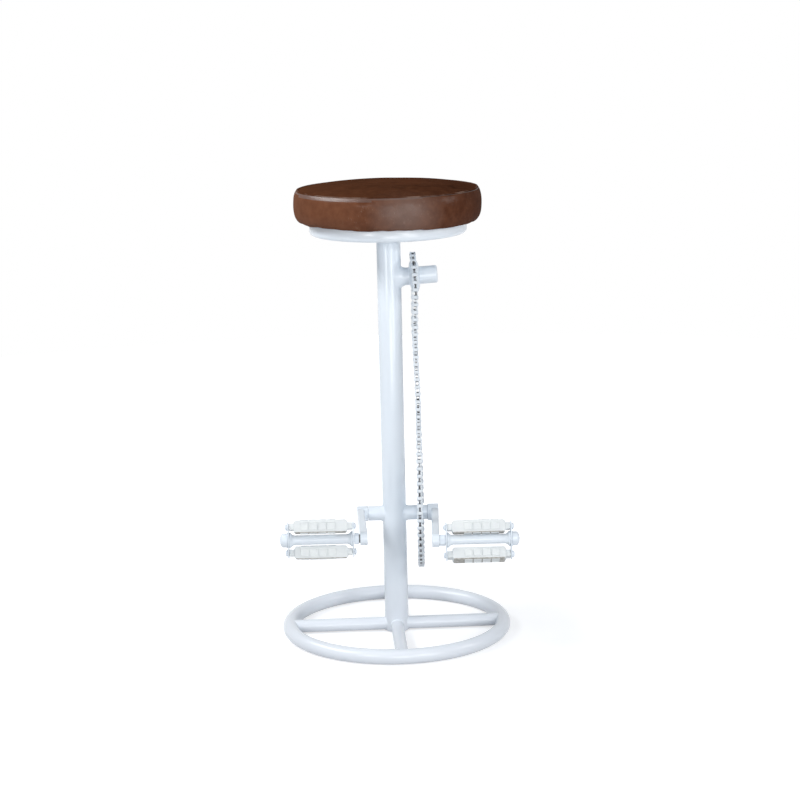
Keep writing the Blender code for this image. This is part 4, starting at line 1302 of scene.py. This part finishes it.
def makePedal(label, side):
    axis = pedalAxis(label)
    prefix = label + "_pedal_"
    rise = middleOf(prefix + "upper_bolt") - axis
    fall = middleOf(prefix + "lower_bolt") - axis
    lifts = math.hypot(rise.y, rise.z), -math.hypot(fall.y, fall.z)
    tilt = math.degrees(math.atan2(rise.y, rise.z))
    spot = Matrix.Translation(axis) @ turned(0 if side > 0 else 180, "Z")
    tread = spot @ turned(-side * tilt, "X")

    def reachOf(node):
        low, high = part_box(prefix + node)
        return sorted((side * (low.x - axis.x), side * (high.x - axis.x)))

    def fit(name, node, bm, place, looks="enamel", body="pedal_" + label, sharp=38):
        moveTo(bm, place)
        makePiece(label + "Pedal" + name, bm, [prefix + node], looks, body, sharp)

    spindle = pedalSpindle(pedalShape["bareThread"][label], reachOf("inner_plate")[0], reachOf("spindle")[1])
    fit("Spindle", "spindle", spindle, spot @ alongX, "enamel oiled", body="frame")
    fit("Barrel", "barrel", pedalBarrel(reachOf("barrel")), tread @ alongX, sharp=50)
    for plate in ("inner", "outer"):
        fit("Plate." + plate, plate + "_plate", sidePlate(reachOf(plate + "_plate"), lifts), tread)
    seat = reachOf("outer_plate")[1] + pedalShape["gap"]
    for place, lift, turn in zip(("upper", "lower"), lifts, pedalShape["turn"][label]):
        bolt = tread @ Matrix.Translation((0, 0, lift))
        start, end = reachOf(place + "_block")
        spun = bolt @ turned(-side * turn, "X") @ Matrix.Translation(((start + end) / 2, 0, 0))
        block = rubberBlock(end - start)
        fit("Block." + place, place + "_block", block, spun, "rubber bareRubber")
        along = bolt @ alongX
        fit("Bolt." + place, place + "_bolt", pedalBolt(reachOf(place + "_bolt")[0], seat), along)
        start, end = reachOf(place + "_nut")
        along = along @ Matrix.Translation((0, 0, (start + end) / 2))
        fit("Nut." + place, place + "_nut", hexNut(end - start), along)
    fit("Cap", "dust_cap", dustCap(*reachOf("dust_cap")), tread @ alongX)
    for node in ("cone_nut", "inner_bearing", "outer_bearing"):
        dressNode(prefix + node, "zinc")


def dressNode(node, look):
    materials = frame["nodes"][node].data.materials
    materials.clear()
    materials.append(finishes[look])


makePedal("left", -1)
makePedal("right", 1)
print("pedals made")


# Seat dish
dishShape = {
    "corner": 0.0075,
    "sheet": 0.0016,
    "lip": 0.0007,
    "spread": 0.0010,        # how far the foot of the wall stands out
    "draw": 0.0022,          # how far the wall then leans in to the rim
    "wallRows": 8,
    "steps": 160,
}


def seatDish():
    low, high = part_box("seat_dish")
    rim = high.x
    corner = dishShape["corner"]
    sheet = dishShape["sheet"]
    foot = rim + dishShape["spread"]
    bend = (foot - corner, low.z + corner)
    wall = []
    for k in range(1, dishShape["wallRows"] + 1):
        share = k / dishShape["wallRows"]
        wall.append((foot - dishShape["draw"] * share ** 2, bend[1] + (high.z - bend[1]) * share))
    outside = [(0, low.z)] + arcPoints(corner, -90, 0, 8, bend) + wall
    inside = [(reach - sheet, z) for reach, z in reversed(wall)]
    inside += arcPoints(corner - sheet, 0, -90, 8, bend) + [(0, low.z + sheet)]
    bm = turnProfile(outside + inside, dishShape["steps"])
    softenEdges(bm, dishShape["lip"], 3, 60)
    makePiece("seatDish", bm, ["seat_dish"])


screwShape = {
    "socket": 0.0017,
    "socketDepth": 0.0014,
    "socketSpread": 1.1,
    "shank": 0.002,
    "tip": 0.003,
    "gap": 0.0003,           # between the head and the dish
    "sides": 36,
}


def seatScrews():
    socket, depth, shank = screwShape["socket"], screwShape["socketDepth"], screwShape["shank"]
    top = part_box("seat_dish")[0].z - screwShape["gap"]
    for number in range(1, 5):
        node = f"seat_screw_{number}"
        low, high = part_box(node)
        middle = middleOf(node)
        head = (high.x - low.x) / 2
        rise = top - low.z
        profile = [(0, low.z + depth), (socket, low.z + depth), (socket, low.z)]
        profile += [(head * math.cos(a), top - rise * math.sin(a)) for a in (1.0, 0.7, 0.35, 0)]
        profile += [(shank, top), (shank, high.z - screwShape["tip"]), (0, high.z)]
        bm = turnProfile(profile, screwShape["sides"])
        for vert in bm.verts:
            away = math.hypot(vert.co.x, vert.co.y)
            if abs(away - socket) < 0.0001:
                # the socket is a hexagon
                turn = math.atan2(vert.co.y, vert.co.x) % (math.pi / 3) - math.pi / 6
                wide = math.cos(math.pi / 6) / math.cos(turn) * screwShape["socketSpread"]
                vert.co.x *= wide
                vert.co.y *= wide
        moveTo(bm, Matrix.Translation((middle.x, middle.y, 0)))
        makePiece(f"seatScrew.{number}", bm, [node], "zinc")


# Cushion: one leather cover, swollen by cloth pressure over its foam and then parted at the seam
cushionShape = {
    "grid": 48,
    "sideRows": 7,
    "curl": 0.46,            # how late the side turns in under itself
    "tuck": 0.0105,          # how deep the cover goes into the dish
    "tuckRows": 3,
    "slack": 0.0010,         # how much smaller the cover starts
    "frames": 20,
    "cap": 0.0045,           # no point of the cover moves further than this
    "staples": 34,
    "loosePin": 0.35,        # how firmly the cover is held between staples
    "seamPin": 0.55,
    "leather": 0.0014,
    "turnIn": 0.0035,        # seam allowance folded into the seam
    "groove": 0.00018,
    "lip": 0.0004,           # first step of that fold
    "gap": 0.0003,           # between the cover and the dish's rim
    "seamGap": 0.0006,
    "roll": 0.0012,          # how far the leather leans in under the seam
    "rollAt": (-0.643, -0.766, 0),
    "sag": 0.0034,           # how far the lower side hangs over the rim
}
topLow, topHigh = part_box("leather_top")
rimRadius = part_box("seat_dish")[1].x
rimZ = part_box("seat_dish")[1].z
seamRadius = topHigh.x
seamZ = topLow.z - cushionShape["seamGap"]
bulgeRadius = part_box("leather_band")[1].x


def sideRows(inset=0.0):
    # (radius, height) from under the seam, round the bulge and in to the dish's rim
    count = cushionShape["sideRows"]
    underZ = rimZ + cushionShape["gap"]
    middleZ = (seamZ + underZ) / 2
    bulge = bulgeRadius - inset
    rows = []
    for k in range(1, count + 1):
        turn = math.pi / 2 * k / count
        z = seamZ + (middleZ - seamZ) * (1 - math.cos(turn))
        rows.append((seamRadius + (bulge - seamRadius) * math.sin(turn), z))
    for k in range(1, count + 2):
        turn = math.pi / 2 * k / (count + 1)
        curl = math.cos(turn) ** cushionShape["curl"]
        rows.append((rimRadius + (bulge - rimRadius) * curl, middleZ - (middleZ - underZ) * math.sin(turn)))
    return rows


def tuckRows():
    wall = rimRadius + dishShape["spread"] - dishShape["draw"] - dishShape["sheet"]
    inside = wall - 2 * cushionShape["gap"]
    top = rimZ + cushionShape["gap"]
    count = cushionShape["tuckRows"]
    return [(inside, top - cushionShape["tuck"] * k / (count - 1)) for k in range(count)]


def topHeight(radius, inset=0.0):
    share = radius / seamRadius
    return topHigh.z - (topHigh.z - seamZ) * share ** 3 - inset * (1 - share ** 2)


def coverMesh():
    # a square grid rounded to a disc, whose edge is then drawn down row by row
    inset = cushionShape["slack"]
    bm = bmesh.new()
    rowOf = bm.verts.layers.int.new("row")
    foldOf = bm.verts.layers.float.new("seamFold")
    bmesh.ops.create_grid(bm, x_segments=cushionShape["grid"], y_segments=cushionShape["grid"], size=1)
    for vert in bm.verts:
        u, v = vert.co.x, vert.co.y
        x = u * math.sqrt(1 - v * v / 2) * seamRadius
        y = v * math.sqrt(1 - u * u / 2) * seamRadius
        vert.co = (x, y, topHeight(math.hypot(x, y), inset))
    edge = [edge for edge in bm.edges if edge.is_boundary]
    for vert in {vert for side in edge for vert in side.verts}:
        vert[rowOf] = 1
        vert[foldOf] = 1.0
    for number, (radius, z) in enumerate(sideRows(inset) + tuckRows(), 2):
        made = bmesh.ops.extrude_edge_only(bm, edges=edge)["geom"]
        edge = edgesOf(made)
        for vert in vertsOf(made):
            turn = math.atan2(vert.co.y, vert.co.x)
            vert.co = (radius * math.cos(turn), radius * math.sin(turn), z)
            vert[rowOf] = number
            vert[foldOf] = 0.0
    bmesh.ops.recalc_face_normals(bm, faces=bm.faces)
    return meshFrom(bm, "cover")


def pinWeight(row, turn):
    # the staples are unevenly spaced
    under = 2 + 2 * cushionShape["sideRows"]
    if row > under:
        return 1.0
    if row == under:
        stapled = math.sin(turn * cushionShape["staples"] + 3 * math.sin(3 * turn)) > 0.2
        return 1.0 if stapled else cushionShape["loosePin"]
    return cushionShape["seamPin"] if row == 1 else 0.0


clothShape = {
    "quality": 6,
    "mass": 0.3,
    "tension_stiffness": 20,
    "compression_stiffness": 8,
    "bending_stiffness": 0.6,
    "vertex_group_mass": "pins",
    "use_pressure": True,
    "uniform_pressure_force": 4.0,
}


def swell(mesh):
    # the foam pushes the cover out
    holder = bpy.data.objects.new("cover", mesh)
    scene.collection.objects.link(holder)
    pins = holder.vertex_groups.new(name="pins")
    rows = mesh.attributes["row"].data
    for vert, row in zip(mesh.vertices, rows):
        pins.add([vert.index], pinWeight(row.value, math.atan2(vert.co.y, vert.co.x)), "REPLACE")
    cloth = holder.modifiers.new("swell", "CLOTH")
    for key, value in clothShape.items():
        setattr(cloth.settings, key, value)
    cloth.settings.effector_weights.gravity = 0
    cloth.point_cache.frame_start = 1
    cloth.point_cache.frame_end = cushionShape["frames"]
    for number in range(1, cushionShape["frames"] + 1):
        scene.frame_set(number)
    puffed = holder.evaluated_get(bpy.context.evaluated_depsgraph_get()).to_mesh()
    for vert, moved in zip(mesh.vertices, puffed.vertices):
        step = moved.co - vert.co
        far = step.length
        if far > cushionShape["cap"]:
            step *= cushionShape["cap"] / far
        vert.co += step
    scene.frame_set(1)
    bpy.data.objects.remove(holder)


def rollShare(around):
    # the roll under the seam is fullest at the front left
    return 0.35 + 0.65 * max(around.dot(Vector(cushionShape["rollAt"])), 0) ** 2


wearShape = {
    "crown": 0.0011,
    "crownScale": 17,
    "fold": 0.0007,
    "foldScale": (22, 60),   # level and upright
    "slack": 0.0010,
    "slackScale": 9,
    "pucker": 0.0022,
    "puckerScales": (6, 15),
    "puckerShift": Vector((0, 0, 4)),
    "puckerFine": 0.4,
    "puckerFloor": -0.25,
    "lowest": 1.15,
    "rollRows": 4,
    "sagLean": 0.6,          # the chain's side hangs lower
}


def wearIn(mesh):
    # uneven stuffing, slack folds low on the side and puckers where it is drawn into the dish
    side = cushionShape["sideRows"]
    coarse, fine = wearShape["puckerScales"]
    level, upright = wearShape["foldScale"]
    rows = mesh.attributes["row"].data
    for vert, row in zip(mesh.vertices, rows):
        spot = vert.co.copy()
        around = Vector((spot.x, spot.y, 0)).normalized()
        if row.value == 0:
            share = min(math.hypot(spot.x, spot.y) / seamRadius, 1)
            vert.co.z += wearShape["crown"] * noise.noise(spot * wearShape["crownScale"]) * (1 - share ** 4)
        elif row.value <= 3 + 2 * side:
            low = min(max(row.value - side, 0) / side, wearShape["lowest"])
            pucker = noise.noise(around * coarse + wearShape["puckerShift"])
            pucker += wearShape["puckerFine"] * noise.noise(around * fine)
            fold = noise.noise(Vector((spot.x * level, spot.y * level, spot.z * upright)))
            slack = low * noise.noise(around * wearShape["slackScale"])
            vert.co += around * (wearShape["fold"] * fold + wearShape["slack"] * slack)
            vert.co.z += wearShape["pucker"] * low ** 2 * max(pucker, wearShape["puckerFloor"])
            near = min((row.value - 1) / wearShape["rollRows"], 1)
            vert.co -= around * cushionShape["roll"] * rollShare(around) * math.sin(math.pi * near)
            hang = min(max(row.value - 1 - side, 0) / (side + 1), 1)
            droop = cushionShape["sag"] * hang ** 2 * (1 - hang ** 6)
            vert.co.z -= droop * (1 + wearShape["sagLean"] * spot.x / rimRadius)


def partCover(mesh, keepTop):
    # one side of the seam, with its edge folded inward
    bm = bmesh.new()
    bm.from_mesh(mesh)
    rowOf = bm.verts.layers.int["row"]
    other = [face for face in bm.faces if (max(vert[rowOf] for vert in face.verts) <= 1) != keepTop]
    bmesh.ops.delete(bm, geom=other, context="FACES")
    for face in bm.faces:
        middle = face.calc_center_median()
        around = Vector((middle.x, middle.y, 0)).normalized()
        rolled = max(vert[rowOf] for vert in face.verts) <= 1 + round(3 * rollShare(around))
        face.material_index = 1 if rolled and not keepTop else 0
    seam = [edge for edge in bm.edges if edge.is_boundary and all(vert[rowOf] == 1 for vert in edge.verts)]
    lift = cushionShape["groove"] if keepTop else -cushionShape["groove"]
    for vert in {vert for edge in seam for vert in edge.verts}:
        vert.co.z += lift
    for inward, closing in ((cushionShape["lip"], 0.8 * lift), (cushionShape["turnIn"], 0.0)):
        made = bmesh.ops.extrude_edge_only(bm, edges=seam)["geom"]
        seam = edgesOf(made)
        for vert in vertsOf(made):
            vert.co -= Vector((vert.co.x, vert.co.y, 0)).normalized() * inward
            vert.co.z -= closing
    return bm


def finishCover(name, bm, look, node):
    piece = makePiece(name, bm, [node], look, sharp=70)
    rounder = piece.modifiers.new("rounder", "SUBSURF")
    rounder.levels = 1
    rounder.render_levels = 1
    hide = piece.modifiers.new("hide", "SOLIDIFY")
    hide.thickness = cushionShape["leather"]
    hide.offset = -1


foamShape = {
    "gap": 0.0045,           # inside the cover
    "rows": (0, 0.3, 0.6, 0.8, 0.94),
    "rimGap": 0.006,
    "footGap": 0.0062,
    "footRise": 0.001,
    "boardGap": 0.0003,
    "steps": 96,
}


def foamPad():
    # stands just inside the cover
    gap = foamShape["gap"]
    profile = [(seamRadius * share, topHeight(seamRadius * share) - gap) for share in foamShape["rows"]]
    profile.append((seamRadius - gap, seamZ - gap))
    middle = (seamZ + rimZ) / 2
    for radius, z in sideRows():
        # lifted off the part of the cover that turns in underneath
        lift = 2 * gap * max(middle - z, 0) / (middle - rimZ)
        if radius - gap > rimRadius - foamShape["rimGap"]:
            profile.append((radius - gap, z + lift))
    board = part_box("seat_board")[1].z + foamShape["boardGap"]
    foot = rimRadius - foamShape["footGap"]
    profile += [(foot, rimZ + foamShape["footRise"]), (foot, board), (0, board)]
    bm = turnProfile(profile, foamShape["steps"])
    makePiece("foamPad", bm, ["seat_foam"], "foam")


def cushion():
    mesh = coverMesh()
    swell(mesh)
    wearIn(mesh)
    widest = max(math.hypot(vert.co.x, vert.co.y) for vert in mesh.vertices)
    print(f"cover is {2 * widest:.4f} m across")
    finishCover("leatherTop", partCover(mesh, True), "topLeather", "leather_top")
    finishCover("leatherBand", partCover(mesh, False), "sideLeather edgeLeather", "leather_band")
    foamPad()


seatDish()
seatScrews()
cushion()
dressNode("seat_board", "plywood")
print("seat made")
